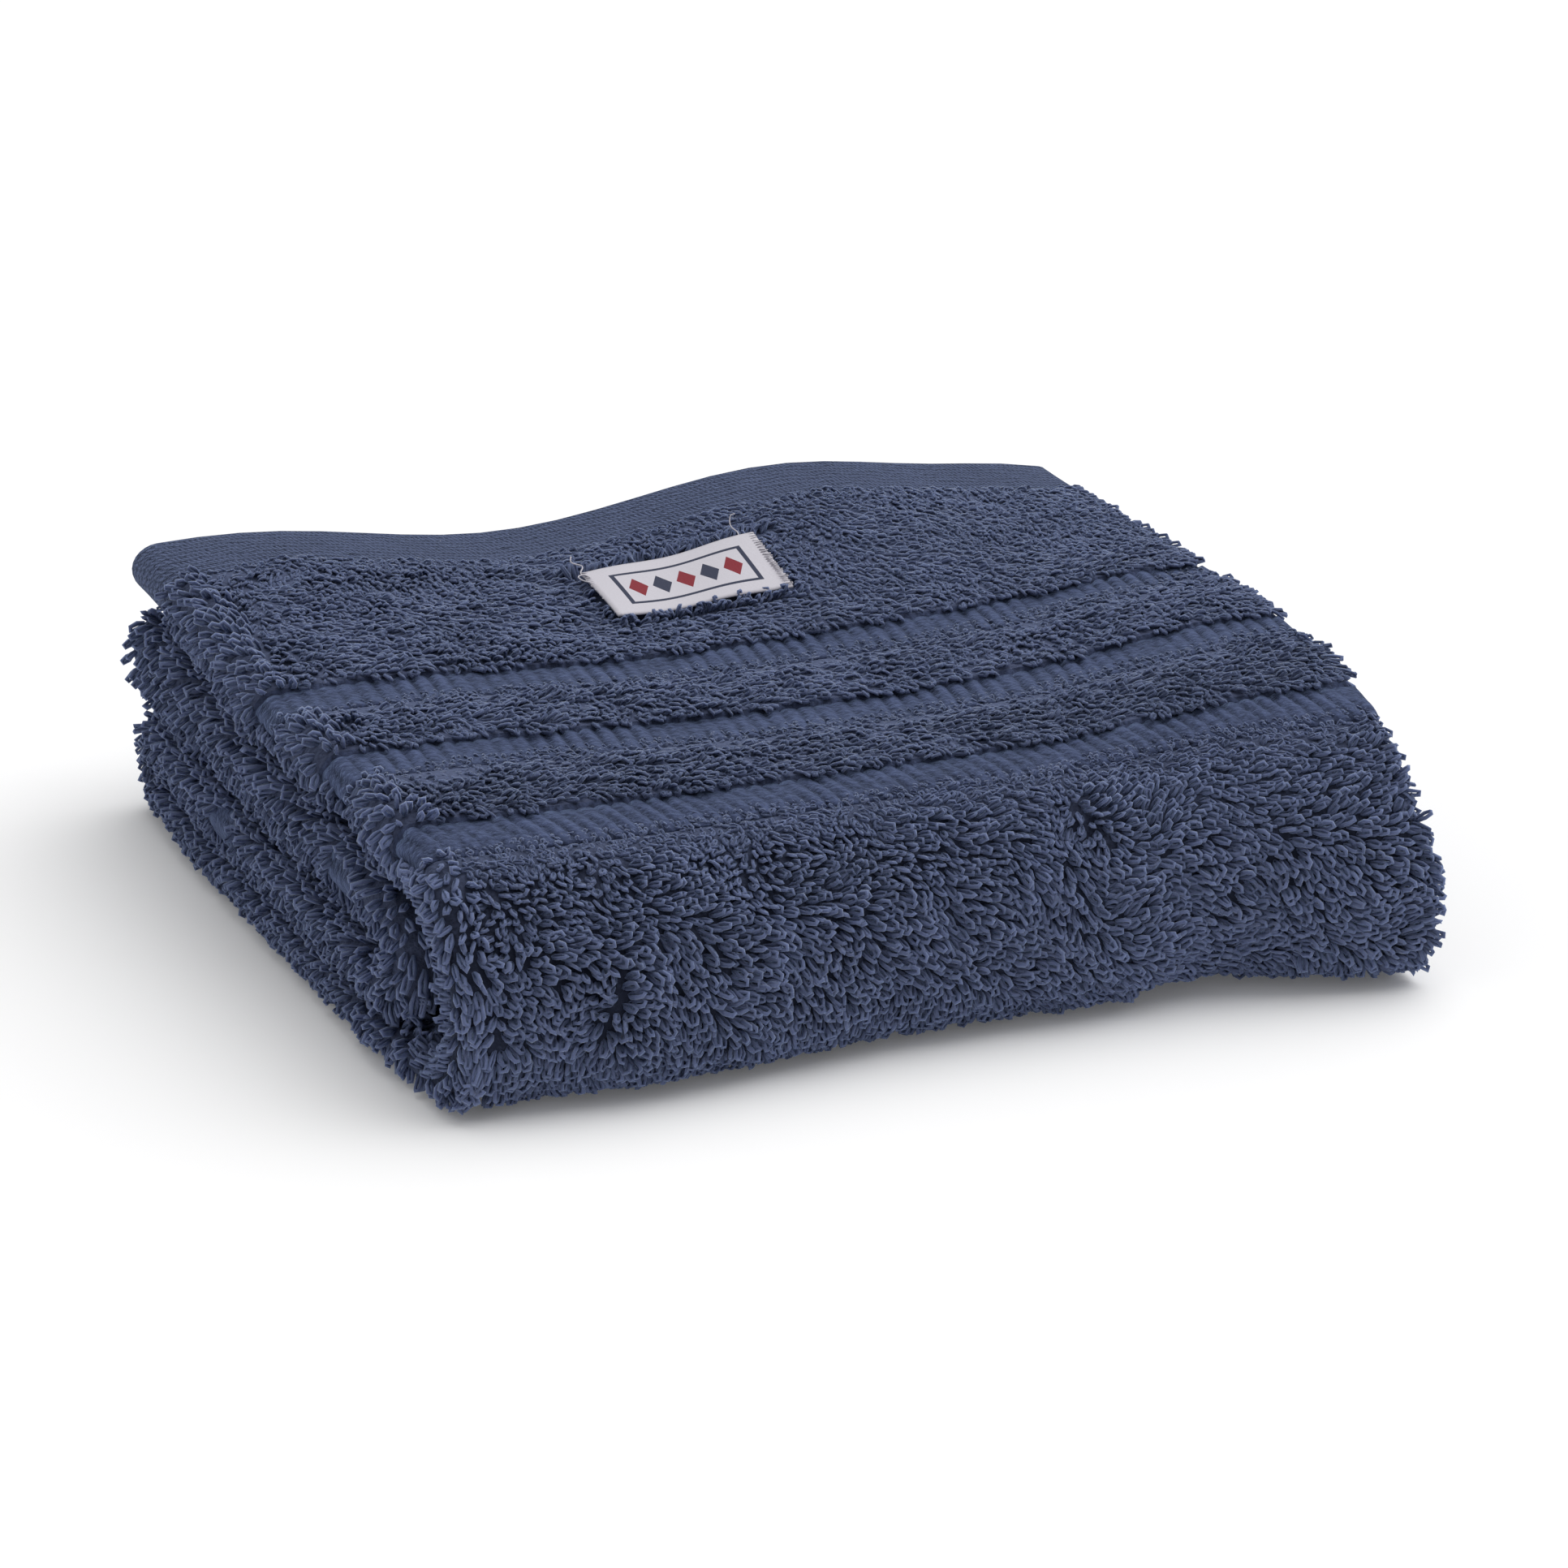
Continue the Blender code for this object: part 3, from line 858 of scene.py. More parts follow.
def tuft(spot, manner, sizes, sunk=ROOT_DEPTH):
    """A loop that leans to the side its comb gives, with its face turned outwards."""
    comb, lean = math.radians(manner.comb), math.radians(manner.lean)
    side = (spot.onward * math.cos(comb) + spot.rightward * math.sin(comb)).normalized()
    along = (spot.out * math.cos(lean) + side * math.sin(lean)).normalized()
    facing = manner.facing or spot.out
    out = (facing - along * facing.dot(along)).normalized()
    roll = Matrix.Rotation(math.radians(scatter(manner.roll)), 3, along)
    out = roll @ out
    turn = Matrix((out.cross(along), out, along)).transposed().to_quaternion()
    size = Vector((manner.width * between(0.80, 1.12),
                   between(0.9, 1.1),
                   manner.length * between(0.82, 1.14)))
    tone = manner.tone + between(-1, 1) * mix(0.06, 0.22, manner.depth)
    root = spot.place - spot.out * sunk
    reach = sizes.length * size.z
    tip = root + along * reach - out * (1.25 * sizes.curl * reach * size.y)
    lowest = min(root.z, tip.z) - sizes.width / 2
    root.z += max(0.0, FLOOR_CLEAR - lowest)
    kind = random_source.randrange(len(LOOP_VARIANTS))
    return Tuft(root, turn, size, tone, manner.depth, kind)


def staggered(across_from, across_to, along_from, along_to, spacing):
    """Rows of loop roots, every other row shifted by half, each a little off its place."""
    rows = max(1, round((along_to - along_from) / spacing))
    columns = max(1, round((across_to - across_from) / spacing))
    for row in range(rows):
        for column in range(columns):
            shift = 0.25 + 0.5 * (row % 2)
            across = mix(across_from, across_to, (column + shift) / columns)
            along = mix(along_from, along_to, (row + 0.5) / rows)
            yield (across + between(-0.3, 0.3) * spacing,
                   along + between(-0.22, 0.22) * spacing)


def past_label(across, along):
    """How far a place on the cloth lies outside the label's long and short edges."""
    cosine, sine = math.cos(LABEL_TURN), math.sin(LABEL_TURN)
    x, y = LABEL_ACROSS - across, along - LABEL_ALONG
    front = y * cosine - x * sine
    right = x * cosine + y * sine - LABEL_SHEAR * front
    return abs(right) - LABEL_WIDTH / 2, abs(front) - LABEL_DEPTH / 2, front


def round_label(across, along, comb, lean, length):
    """Loops round the label stand up; behind it they are long and lean away from it."""
    right, past, front = past_label(across, along)
    reach = 0.013 if front < 0 and past > right else 0.0030
    near = smooth(1 - max(right, past, 0.0) / reach)
    if front < 0 and past > right:
        return mix(comb, 180 + scatter(40), near), mix(lean, 24, near), \
            mix(length, 1.50, near)
    return comb, mix(lean, 14, near), mix(length, 1.15, near)


# How a loop stands: comb, lean and roll in degrees, length and width as shares of its
# sizes, tone and the strength of its painted root shade and rim highlight as shares of the
# yarn's range of colour, and where its face turns
Manner = namedtuple("Manner", "comb lean length width tone depth roll facing", defaults=(None,))


def comb_to(spot, direction):
    """Comb that turns a loop to a direction in space, as far as the surface allows."""
    return math.degrees(math.atan2(direction.dot(spot.rightward), direction.dot(spot.onward)))


def whorl_turn(spot):
    """Comb that points away from the nearest whorl, and how strong the whorl is here."""
    best, comb = 0.0, 0.0
    for x, z, reach in WHORLS:
        away = Vector((spot.place.x - x, 0.0, spot.place.z - z))
        strength = bell(away.length / reach)
        if strength > best:
            best, comb = strength, comb_to(spot, away)
    return comb, best


def last_share(along, reach):
    """How much a loop belongs to the last rows of a stripe, which lean over its end."""
    kind, _, end = zone_at(along)
    return smooth(1 - (end - from_hem(along) - 0.0010) / reach) if kind == "pile" else 0.0


def top_manner(across, along, spot):
    """How the loops lie on the top: close, short and turned in many ways.

    They are clumped at the left and even on the stripe behind. The early rows of a stripe
    are scattered, its last rows lean over its end, and the edge rows over the selvedge.
    """
    distance, _ = crosswise(across)
    early = 1 - smooth(soft_way(along, across) / 0.012)
    comb = mix(35, -50, smooth(1 - distance / 0.018))
    comb += 50 * wander(spot.place, 0.020, 1) + 34 * wander(spot.place, 0.008, 2)
    clumped = mix(0.35, 1.0, smooth((0.03 - spot.place.x) / 0.09))
    by_hem = from_hem(along) < HEM_TUFTS_END
    comb += scatter(20 + 44 * early * (clumped if by_hem else 1.0))
    lean = mix(60, 46, clumped) + 24 * clumped * wander(spot.place, 0.007, 3)
    lean += scatter(8)
    lean = mix(lean, 52 if by_hem else 66, early)
    last = last_share(along, 0.0030)
    comb, lean = mix(comb, scatter(22), last), mix(lean, 62, last)
    edge = smooth(1 - across / 0.010)
    comb, lean = mix(comb, 80 + scatter(28), edge), mix(lean, 60, edge)
    behind = smooth((0.100 - along) / 0.020)
    comb, lean = mix(comb, 0.7 * comb, behind), mix(lean, 58, 0.4 * behind)
    length = mix(1.0, 1.2, last) * mix(1.0, 1.2, edge) * mix(1.0, 0.92, behind)
    length *= 1 + 0.24 * clumped * wander(spot.place, 0.008, 9)
    comb, lean, length = round_label(across, along, comb, lean, length)
    tone = mix(mix(0.46, 0.52, behind), 0.50 if by_hem else 0.36, early)
    # Painted shade: the loops get darker from the third stripe on, as the top turns forward
    tone -= 0.16 * smooth((along - 0.145) / 0.035)
    width = mix(1.0, 0.75, early) * mix(1.0, 1.2, edge) * mix(1.0, 0.94, behind)
    return Manner(comb, lean, length, width, tone, mix(0.40, 0.12, behind), 14)


def front_manner(across, along, spot):
    """How the loops hang on the front: to the right at its right, down at its left.

    The rows that have only started lie close and scattered, the low ones turn further
    down, and round the centre of a whorl they point away from it.
    """
    share = (along - FRONT_START) / (FRONT_END - FRONT_START)
    started = smooth(soft_way(along, across) / 0.022)
    low = smooth((share - 0.55) / 0.25)
    to_right = smooth((spot.place.x + 0.03) / 0.11)
    comb = mix(mix(24, 84, to_right), mix(4, 66, to_right), low)
    turned, strength = whorl_turn(spot)
    centre = smooth((strength - 0.7) / 0.25)
    comb = mix(comb, turned, 0.8 * strength * (1 - centre))
    distance, _ = crosswise(across)
    comb = mix(comb, -35, smooth(1 - distance / 0.014))
    comb += 58 * wander(spot.place, 0.018, 1) + 26 * wander(spot.place, 0.007, 2)
    comb += scatter(mix(50, 12, started))
    lean = mix(36, 46, to_right) + 16 * wander(spot.place, 0.010, 3) + scatter(8)
    lean = mix(58, mix(lean, 14, centre), started)
    width = mix(0.85, mix(1.0, 1.04, low), started)
    length = mix(1.0, 0.92, low) * (1 + 0.16 * wander(spot.place, 0.009, 9))
    # Painted light: the loops are lighter towards the right of the front
    tone = mix(0.50, mix(0.52, 0.62, to_right), started)
    return Manner(comb, lean, length, width, tone, mix(0.30, 0.82, started), 12)


def left_manner(across, along, spot):
    """Shaggy loops on the left folds: they stand out and hang down in curls.

    They are longer in the gap between two folds, in the crevice beside the front fold and
    in the notch at the back, and lean over the last rows of a stripe on top.
    """
    crevice = smooth((-spot.place.y - 0.048) / 0.022)
    way = Vector((-0.4, mix(-0.15, -0.9, crevice), mix(-0.8, -0.5, crevice)))
    if FRONT_START < along < FRONT_END and across > CLOTH_WIDTH / 2:
        way = Vector((-0.5, 1.0, -0.2))
    comb = comb_to(spot, way)
    comb += 34 * wander(spot.place, 0.011, 4) + scatter(12)
    lean = 49 + 15 * wander(spot.place, 0.008, 5) + scatter(7)
    notch = bell((spot.place.z - NOTCH_HEIGHT) / 0.007) * smooth((spot.place.y - 0.06) / 0.02)
    lean = mix(lean, 18, notch)
    _, angle = crosswise(across)
    run, _, _, _ = section_at(along)
    outside = (run == "top" and spot.out.z > 0) or (run == "floor" and spot.out.z < 0)
    gap = 0.0 if outside else smooth((abs(math.sin(angle)) - 0.55) / 0.4)
    lean = mix(lean, 60, gap)
    last = last_share(along, 0.0035) if run == "top" else 0.0
    comb, lean = mix(comb, scatter(30), 0.6 * last), mix(lean, 52, last)
    length = mix(0.95, 1.35, gap) * mix(1.0, 1.35, crevice) * mix(1.0, 1.4, notch)
    # Painted light: loops in the gap between two folds and in the crevice beside the front fold are
    # lighter, against the shade there
    tone = mix(mix(0.55, 0.70, gap), 0.90, crevice)
    return Manner(comb, lean, length, 1.0, tone, 0.7, 16, LEFT_FACING)


def under_manner(across, along, spot):
    """Loops that lie flat, below the towel and in the hollow of its front turn."""
    return Manner(between(-40, 40), 66, 1.0, 1.3, 0.4, 0.5, 20)


def soft_way(along, across=0.1):
    """Distance past the first loops of a stripe of pile, below 0 where there are none."""
    kind, start, end = zone_at(along)
    first = start if kind == "pile" else end
    taper = sum(reach * (1 - smooth(across / width)) for band_end, reach, width in RIGHT_TAPERS
                if abs(first - band_end) < 0.0005)
    distance, _ = crosswise(across)
    early = mix(EARLY_END, EARLY_START, smooth(distance / 0.030))
    return from_hem(along) - first + early + taper


def standing(along, across=0.1):
    """Share of the full length that loops have here, or 0 where there are none."""
    kind, _, end = zone_at(along)
    by_hem = from_hem(along) < HEM_TUFTS_END
    uneven = wander(Vector((across, along, 0.0)), 0.011, 6)
    uneven *= HEM_UNEVEN if by_hem else BAND_UNEVEN
    early = soft_way(along, across) + uneven
    bare = BARE_END + (uneven if across < ACROSS_RUN - 0.006 else -0.0006)
    if early < 0 or (kind == "pile" and end - from_hem(along) < bare):
        return 0.0
    least = HEM_TUFTS_LEAST if by_hem else BAND_TUFTS_LEAST
    grown = mix(least, 1.0, smooth(early / (SOFT_START + EARLY_END)))
    return grown * mix(THIN_PILE_LEAST, 1.0, pile_room(along) / PILE_HEIGHT)


def length_at(across, along):
    """Share of the full length at a place: at the left, loops cover the bands and a hem."""
    kind = kind_at(along)
    turned_band = kind == "band" and across - ACROSS_RUN > FOLD_LENGTH * BAND_END_TURN
    if turned_band or (kind == "hem" and along > CLOTH_LENGTH / 2):
        return COVERING_LENGTH
    for patch in FLAT_PATCHES:
        away = math.hypot((along - patch.along) / patch.half_length,
                          (across - patch.across) / patch.half_height)
        if away < 1.0:
            return 0.0
    return standing(along, across)


def plant(across_from, across_to, along_from, along_to, style):
    """Loops on the outer face of a stretch of the cloth."""
    tufts = []
    for across, along in staggered(across_from, across_to, along_from, along_to, style.spacing):
        share = length_at(across, along)
        if share == 0.0 or max(past_label(across, along)[:2]) < LABEL_FREE:
            continue
        thickness, sink = ground_shape(along)
        raised = 0.8 * RIB_HEIGHT if kind_at(along) == "band" and along < FRONT_END else 0.0
        spot = spot_on(across, along, thickness / 2 - sink + raised)
        manner = style.manner_at(across, along, spot)
        tufts.append(tuft(spot, manner._replace(length=share * manner.length), style.sizes))
    return tufts


def plant_at_label(spacing=0.0010):
    """A close row of loops in front of the label, which hides its front edge."""
    tufts = []
    for step in range(int(LABEL_WIDTH / spacing)):
        right = (step + random_source.random()) * spacing - LABEL_WIDTH / 2
        front = LABEL_DEPTH / 2 + between(LABEL_FREE, 0.0012)
        spot = label_spot(right, front, -PILE_HEIGHT)
        comb, lean = scatter(40), between(-4, 30)
        length = between(1.0, 1.2)
        # Painted light: these loops are lighter, with little painted shade at their roots, against
        # the shade under the label's front edge
        tufts.append(tuft(spot, Manner(comb, lean, length, 1.0, 0.70, 0.2, 20), TOP_LOOPS))
    return tufts


def plant_edges():
    """Loops that stand out of both selvedges, at the right, bold ones at the front."""
    tufts = []
    for across in (EDGE_IN + 0.0004, CLOTH_WIDTH - EDGE_IN - 0.0004):
        steps = int(CLOTH_LENGTH / EDGE_SPACING)
        for step in range(steps):
            along = (step + random_source.random()) * EDGE_SPACING
            share = standing(along)
            if share == 0.0 or kind_at(along) != "pile":
                continue
            full = full_thickness(along)
            count = 3 if full > THREE_EDGE_LOOPS else 2
            bold = BOLD_EDGE_FROM < along < FRONT_END
            for level in range(count):
                lift = full * ((level + 0.5) / count - 0.5) * 0.8
                spot = spot_on(across, along, lift)
                outward = spot.rightward if across < CLOTH_WIDTH / 2 else -spot.rightward
                turned = Spot(spot.place, outward, spot.onward, spot.out)
                comb = comb_to(turned, Vector((0, 0, -1))) + between(-85, 85)
                lean = between(15, 50) if bold else between(50, 76)
                length = share * (BOLD_EDGE_LENGTH if bold else 1.0)
                manner = Manner(comb, lean, length, 0.9, 0.58, 0.8, 30)
                tufts.append(tuft(turned, manner, LEFT_LOOPS, EDGE_ROOT_DEPTH))
    return tufts


def loop_tree(finish):
    """Node tree that sets a yarn loop on every point and makes one mesh of them."""
    tree = bpy.data.node_groups.new("Loops of " + finish.name, "GeometryNodeTree")
    face = tree.interface
    face.new_socket("Points", in_out="INPUT", socket_type="NodeSocketGeometry")
    for name in LOOP_INPUTS:
        kind = "NodeSocketInt" if name == "Segments" else "NodeSocketFloat"
        face.new_socket(name, in_out="INPUT", socket_type=kind)
    face.new_socket("Pile", in_out="OUTPUT", socket_type="NodeSocketGeometry")
    graph = Graph(tree)
    given = graph.node("NodeGroupInput", {}, {})
    length, width, yarn, segments, start_turn, curl = [
        Number(graph, given.outputs[index]) for index in range(1, 7)]

    def geometry(kind, feeds, **settings):
        return graph.node("GeometryNode" + kind, settings, feeds)

    def circle(resolution, radius):
        feeds = {"Resolution": resolution, "Radius": radius}
        return geometry("CurvePrimitiveCircle", feeds, mode="RADIUS")

    def marked(shape, name, value):
        feeds = {"Geometry": shape, "Name": name, "Value": value}
        return geometry("StoreNamedAttribute", feeds, data_type="FLOAT", domain="POINT")

    def named(name, kind):
        return geometry("InputNamedAttribute", {"Name": name}, data_type=kind)

    profile = geometry("Transform", {
        "Geometry": circle(YARN_SIDES, yarn / math.sqrt(3)), "Rotation": (0, 0, math.pi),
        "Scale": (YARN_FLATNESS, 1.0, 1.0)})
    _, outward, _ = graph.parts(geometry("InputPosition", {}))
    profile = marked(profile, "rim", outward / yarn + 0.5)
    variants = geometry("GeometryToInstance", {})
    for bend, twist in LOOP_VARIANTS:
        spin = graph.node("ShaderNodeCombineXYZ", {}, {2: start_turn})
        ring = geometry("Transform", {"Geometry": circle(segments, 1.0), "Rotation": spin})
        to_root, swing, _ = graph.parts(geometry("InputPosition", {}))
        reach = (1.0 - to_root) * 0.5
        open_width = swing * (width - yarn) * 0.5 * (reach * 0.87 + 0.49)
        fall = reach * reach * length * curl * -bend
        tilt = swing * reach * width * twist
        spread = graph.node("ShaderNodeCombineXYZ", {},
                            {0: open_width, 1: fall + tilt, 2: reach * length})
        moved = geometry("SetPosition", {
            "Geometry": marked(ring, "reach", reach), "Position": spread})
        loop = geometry("CurveToMesh", {"Curve": moved, "Profile Curve": profile})
        graph.feed(variants.inputs[0], loop)
    placed = geometry("InstanceOnPoints", {
        "Points": given, "Instance": variants, "Pick Instance": True,
        "Instance Index": named("kind", "INT"), "Rotation": named("turn", "QUATERNION"),
        "Scale": named("size", "FLOAT_VECTOR")})
    rounded = geometry("SetShadeSmooth", {"Geometry": geometry("RealizeInstances", {0: placed})})
    painted = geometry("SetMaterial", {"Geometry": rounded, "Material": finish})
    graph.node("NodeGroupOutput", {}, {0: painted})
    return tree


def grow(name, tufts, tree, finish, sizes):
    """One mesh of all these loops."""
    points = mesh_object(name + "_roots", [tuft.place for tuft in tufts], [], [])
    point_attribute(points, "turn", "QUATERNION", "value", [c for t in tufts for c in t.turn])
    point_attribute(points, "size", "FLOAT_VECTOR", "vector", [c for t in tufts for c in t.size])
    point_attribute(points, "tone", "FLOAT", "value", [t.tone for t in tufts])
    point_attribute(points, "depth", "FLOAT", "value", [t.depth for t in tufts])
    point_attribute(points, "kind", "INT", "value", [t.kind for t in tufts])
    modifier = points.modifiers.new("Pile", "NODES")
    modifier.node_group = tree
    values = dict(zip(LOOP_INPUTS, sizes))
    for item in tree.interface.items_tree:
        if item.in_out == "INPUT" and item.name in values:
            modifier[item.identifier] = values[item.name]
    evaluated = points.evaluated_get(bpy.context.evaluated_depsgraph_get())
    mesh = bpy.data.meshes.new_from_object(evaluated)
    bpy.data.objects.remove(points, do_unlink=True)
    mesh.name = name
    if not mesh.materials:
        mesh.materials.append(finish)
    return add_object(name, mesh)


# ---------------------------------------------------------------- bands and label
def make_ribbed_band(name, first, last, start, end, slant, finish):
    """The ribbed face of a flat band, between two places across the cloth."""
    columns = filled([first, last], RIB_PITCH / RIB_STEPS)
    rows = [mix(start + 0.0003, end - 0.0002, i / (RIB_ROWS - 1)) for i in range(RIB_ROWS)]

    def rib(across, along):
        shifted = across - (along - start) * slant
        groove = abs(math.cos(math.pi * shifted / RIB_PITCH)) ** 0.7
        return groove, 0.6 + 0.4 * wander(Vector((across, along, 0.0)), 0.015, 8)

    def place(across, along, side):
        thickness, sink = ground_shape(along)
        groove, strength = rib(across, along)
        raised = RIB_HEIGHT * mix(0.35, groove, strength) if side else -0.0005
        return cloth_point(across, along, thickness / 2 - sink + raised)

    band = closed_sheet(name, columns, rows, place, [finish])
    ribs = [rib(across, along) for _ in (1, 0) for along in rows for across in columns]
    # Painted shade: the colour follows the ribs, darker in the grooves between them
    tones = [mix(0.6, groove, strength) for groove, strength in ribs]
    point_attribute(band, "rib", "FLOAT", "value", tones)
    return band


def label_spot(right, front, lift):
    """Place on the label, from its middle."""
    cosine, sine = math.cos(LABEL_TURN), math.sin(LABEL_TURN)
    right += LABEL_SHEAR * front
    across = LABEL_ACROSS - (right * cosine - front * sine)
    along = LABEL_ALONG + right * sine + front * cosine
    spot = spot_on(across, along, full_thickness(along) / 2)
    return Spot(spot.place + spot.out * lift, spot.out, spot.onward, spot.rightward)


def make_label():
    """The woven label, a thin sheet with a slight buckle."""
    columns = [i / 32 for i in range(33)]
    rows = [i / 22 for i in range(23)]

    def place(column, row, side):
        right, front = (column - 0.5) * LABEL_WIDTH, (row - 0.5) * LABEL_DEPTH
        lift = LABEL_THICKNESS / 2 + (side - 0.5) * LABEL_SHEET
        lift += LABEL_BUCKLE * math.sin(9 * column + 2 * row) - LABEL_FRONT_SUNK * row ** 2
        return label_spot(right, front, lift).place

    return closed_sheet("woven_label_cloth", columns, rows, place, [label_finish()])


def stitch_tufts():
    """Small stitches across both short ends of the label."""
    tufts = []
    count = int(LABEL_DEPTH / STITCH_SPACING)
    for end in (-1, 1):
        for step in range(count):
            front = mix(-0.5, 0.5, (step + 0.5) / count) * LABEL_DEPTH
            lift = LABEL_THICKNESS - LABEL_FRONT_SUNK * (step / count) ** 2
            spot = label_spot(end * (LABEL_WIDTH / 2 - STITCH_FROM_END), front, lift)
            comb = 90 * end + scatter(9)
            manner = Manner(comb, 90, 1.0, 1.0, 0.0, 0.0, 4)
            tufts.append(tuft(spot, manner, STITCH_LOOPS, 0.0))
    return tufts


def make_threads(name, finish, sides=5, steps=5):
    """The loose ends of thread, as thin closed tubes in one mesh."""
    vertices, faces = [], []
    for path in LOOSE_THREADS:
        knots = [label_spot(*knot).place for knot in path]
        knots = [2 * knots[0] - knots[1], *knots, 2 * knots[-1] - knots[-2]]
        points = []
        for before, start, end, after in zip(knots, knots[1:], knots[2:], knots[3:]):
            for step in range(steps):
                t = step / steps
                bend = (2 * before - 5 * start + 4 * end - after) * t * t
                bend += (3 * start - before - 3 * end + after) * t ** 3
                points.append(start + ((end - before) * t + bend) / 2)
        first = len(vertices)
        for index, point in enumerate(points):
            way = points[min(index + 1, len(points) - 1)] - points[max(index - 1, 0)]
            side = way.cross(Vector((0.3, 0.2, 1.0))).normalized()
            up = side.cross(way).normalized()
            for turn in range(sides):
                angle = 2 * math.pi * turn / sides
                vertices.append(point + (side * math.cos(angle) + up * math.sin(angle))
                                * THREAD_RADIUS)
        for ring in range(len(points) - 1):
            for turn in range(sides):
                a, b = first + ring * sides + turn, first + ring * sides + (turn + 1) % sides
                faces.append((a, b, b + sides, a + sides))
        faces.append(tuple(first + turn for turn in reversed(range(sides))))
        faces.append(tuple(first + (len(points) - 1) * sides + turn for turn in range(sides)))
    return mesh_object(name, vertices, faces, [finish])


# ---------------------------------------------------------------- stage
CAMERA_AZIMUTH = math.radians(-21.5)
CAMERA_RISE = math.radians(20.0)
CAMERA_DISTANCE = 2.5
CAMERA_TARGET = Vector((0.0055, 0.0, 0.0273))
CAMERA_LENS = 234.3
FLOOR_COLOUR = (0.95, 0.95, 0.953)
FLOOR_GLOW = 0.07
SKY_STRENGTH = 0.47
KEY_FROM = Vector((0.60, 0.20, 1.0))
KEY_SPREAD = math.radians(80)
KEY_STRENGTH = 2.15


def add_facing(name, data, place, back):
    """Add a camera or a light at a place; it looks away from `back`."""
    made = add_object(name, data)
    made.location = place
    made.rotation_mode = "QUATERNION"
    made.rotation_quaternion = (-back).to_track_quat("-Z", "Y")
    return made


def make_camera():
    data = bpy.data.cameras.new("Camera")
    data.lens = CAMERA_LENS
    data.sensor_width = 36.0
    data.clip_start, data.clip_end = 0.05, 30.0
    back = Vector((math.sin(CAMERA_AZIMUTH) * math.cos(CAMERA_RISE),
                   -math.cos(CAMERA_AZIMUTH) * math.cos(CAMERA_RISE), math.sin(CAMERA_RISE)))
    place = CAMERA_TARGET + back * CAMERA_DISTANCE
    bpy.context.scene.camera = add_facing("Camera", data, place, back)


def make_stage():
    """Pale floor, white surroundings and soft light from above and the right."""
    shader = Shader("Pale floor")
    floor = mesh_object("floor", [(-6, -6, 0), (6, -6, 0), (6, 6, 0), (-6, 6, 0)],
                        [(0, 1, 2, 3)], [shader.finish(FLOOR_COLOUR, sheen=0.0)])
    shader.put({"Emission Color": (1.0, 1.0, 1.0), "Emission Strength": FLOOR_GLOW})
    floor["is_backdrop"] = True
    world = bpy.data.worlds.new("Studio")
    world.use_nodes = True
    background = world.node_tree.nodes["Background"]
    background.inputs["Color"].default_value = (1.0, 1.0, 1.0, 1.0)
    background.inputs["Strength"].default_value = SKY_STRENGTH
    bpy.context.scene.world = world
    key = bpy.data.lights.new("Key", "SUN")
    key.angle = KEY_SPREAD
    key.energy = KEY_STRENGTH
    add_facing("Key", key, KEY_FROM, KEY_FROM)
    bpy.context.scene.view_settings.view_transform = "Standard"


# ---------------------------------------------------------------- the towel
make_camera()
make_stage()

ground = make_ground()
band_weave = ground.data.materials[2]
loops = loop_finish()
pile_tree = loop_tree(loops)
LEFT_EDGE = ACROSS_RUN - 0.004
FOLD_END = ACROSS_RUN + FOLD_LENGTH + 0.004
BAND_TURNED = ACROSS_RUN + FOLD_LENGTH * 0.6
BAND_PLACES = [(start, end) for kind, start, end in OUTER_TABLE if kind == "band"]
Style = namedtuple("Style", "manner_at sizes spacing")
TOP = Style(top_manner, TOP_LOOPS, TOP_SPACING)
START = Style(front_manner, START_LOOPS, TOP_SPACING)
GROWING = Style(front_manner, GROWING_LOOPS, GROWING_SPACING)
FRONT = Style(front_manner, FRONT_LOOPS, FRONT_SPACING)
BACK = Style(front_manner, FRONT_LOOPS, BACK_SPACING)
LEFT = Style(left_manner, LEFT_LOOPS, LEFT_SPACING)
HOLLOW = Style(under_manner, LEFT_LOOPS, BACK_SPACING)
UNDER = Style(under_manner, FRONT_LOOPS, UNDER_SPACING)
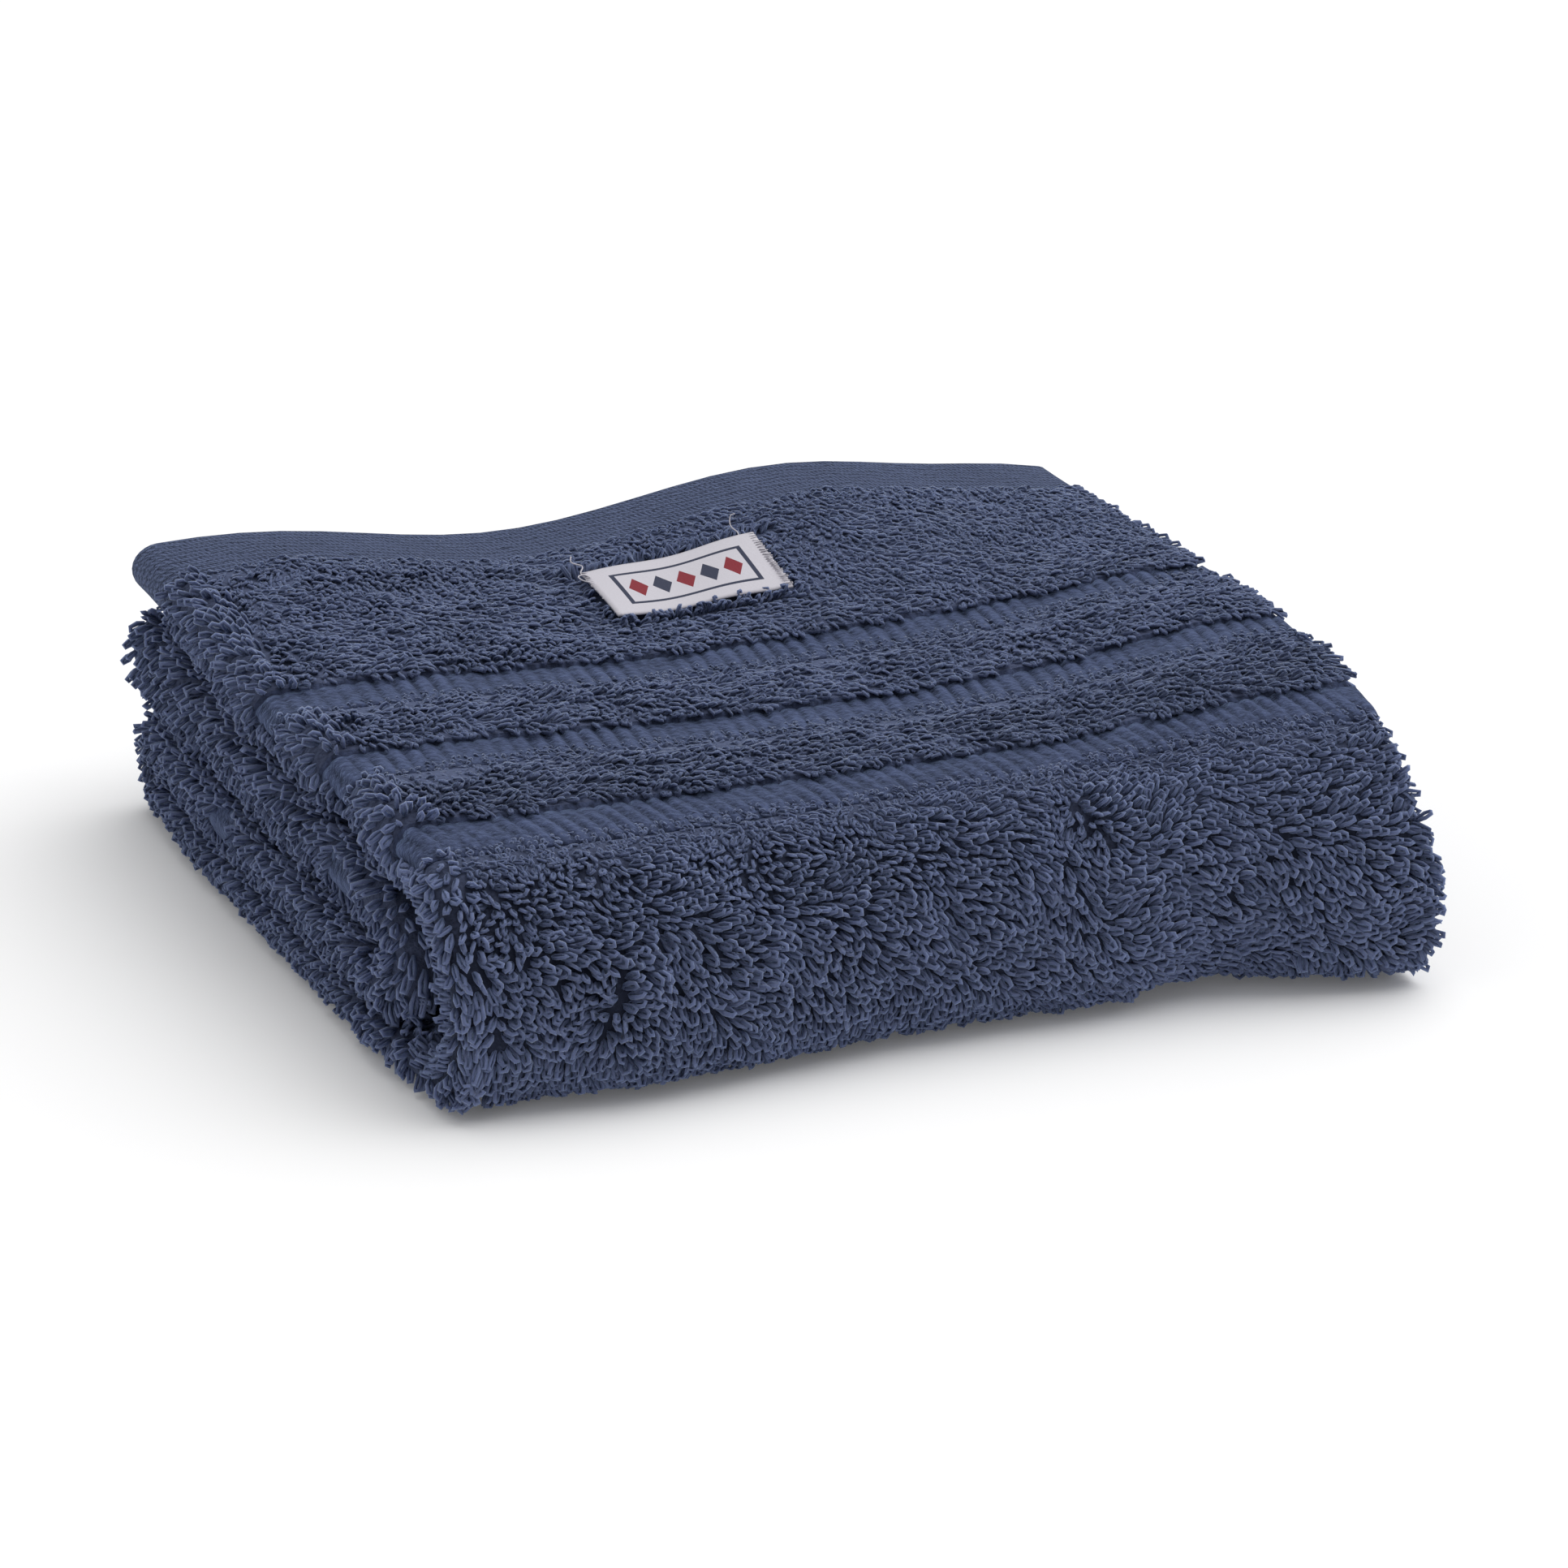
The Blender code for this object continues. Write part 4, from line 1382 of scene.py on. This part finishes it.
PILE_PLOTS = (
    # name, across from, to, along from, to, way the loops lie with their sizes and spacing
    ("pile_back_stripe_1", EDGE_IN, LEFT_EDGE, 0.023, 0.062, TOP),
    ("pile_back_stripe_2", EDGE_IN, LEFT_EDGE, 0.062, 0.102, TOP),
    ("pile_band_stripes", EDGE_IN, LEFT_EDGE, 0.104, 0.188, TOP),
    ("pile_front_start", EDGE_IN, LEFT_EDGE, 0.199, 0.215, START),
    ("pile_front_growing", EDGE_IN, LEFT_EDGE, 0.215, 0.234, GROWING),
    ("pile_front_upper", EDGE_IN, LEFT_EDGE, 0.234, 0.270, FRONT),
    ("pile_front_lower", EDGE_IN, LEFT_EDGE, 0.270, FRONT_END + 0.006, FRONT),
    ("pile_back_fold", EDGE_IN, LEFT_EDGE, BACK_START - 0.006, BACK_END + 0.006, BACK),
    ("pile_left_folds", LEFT_EDGE, FOLD_END, 0.025, CLOTH_LENGTH, LEFT),
    ("pile_front_inside", FOLD_END, FOLD_END + 0.016, FRONT_START - 0.012, FRONT_END + 0.020, LEFT),
    ("pile_front_hollow", CLOTH_WIDTH - 0.018, CLOTH_WIDTH - EDGE_IN, FRONT_START - 0.012,
     FRONT_END + 0.012, HOLLOW),
    ("pile_inner_turn", LEFT_EDGE - 0.016, LEFT_EDGE, 0.6640, 0.7060, LEFT),
    ("pile_underside", EDGE_IN, LEFT_EDGE, FRONT_END + 0.006, BACK_START - 0.006, UNDER),
)
pieces = []
for name, *place, style in PILE_PLOTS:
    pieces.append(grow(name, plant(*place, style), pile_tree, loops, style.sizes))
pieces.append(grow("pile_at_label", plant_at_label(), pile_tree, loops, TOP_LOOPS))
pieces.append(grow("pile_right_edges", plant_edges(), pile_tree, loops, LEFT_LOOPS))
for index, (start, end) in enumerate(BAND_PLACES):
    pieces.append(make_ribbed_band(f"ribbed_band_{index + 1}", 0.0006, BAND_TURNED, start, end,
                                   RIB_SLANTS[index], band_weave))
for index, patch in enumerate(FLAT_PATCHES):
    low, high = patch.across - patch.half_height, patch.across + patch.half_height
    start, end = patch.along - patch.half_length, patch.along + patch.half_length
    pieces.append(make_ribbed_band(f"ribbed_patch_{index + 1}", low - 0.0015, high + 0.0015,
                                   start - 0.0015, end + 0.0015, 0.0, band_weave))
label = make_label()
white = thread_finish()
stitches = grow("label_stitches", stitch_tufts(), loop_tree(white), white, STITCH_LOOPS)
threads = make_threads("loose_threads", white)

for piece in [ground, *pieces]:
    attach(piece, "root")
for piece in (label, stitches, threads):
    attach(piece, "root")
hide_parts("towel_cloth")
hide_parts("woven_label")

low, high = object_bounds()
{"cad": [list(CAD_LOW), list(CAD_HIGH)], "visual": [list(low), list(high)]}
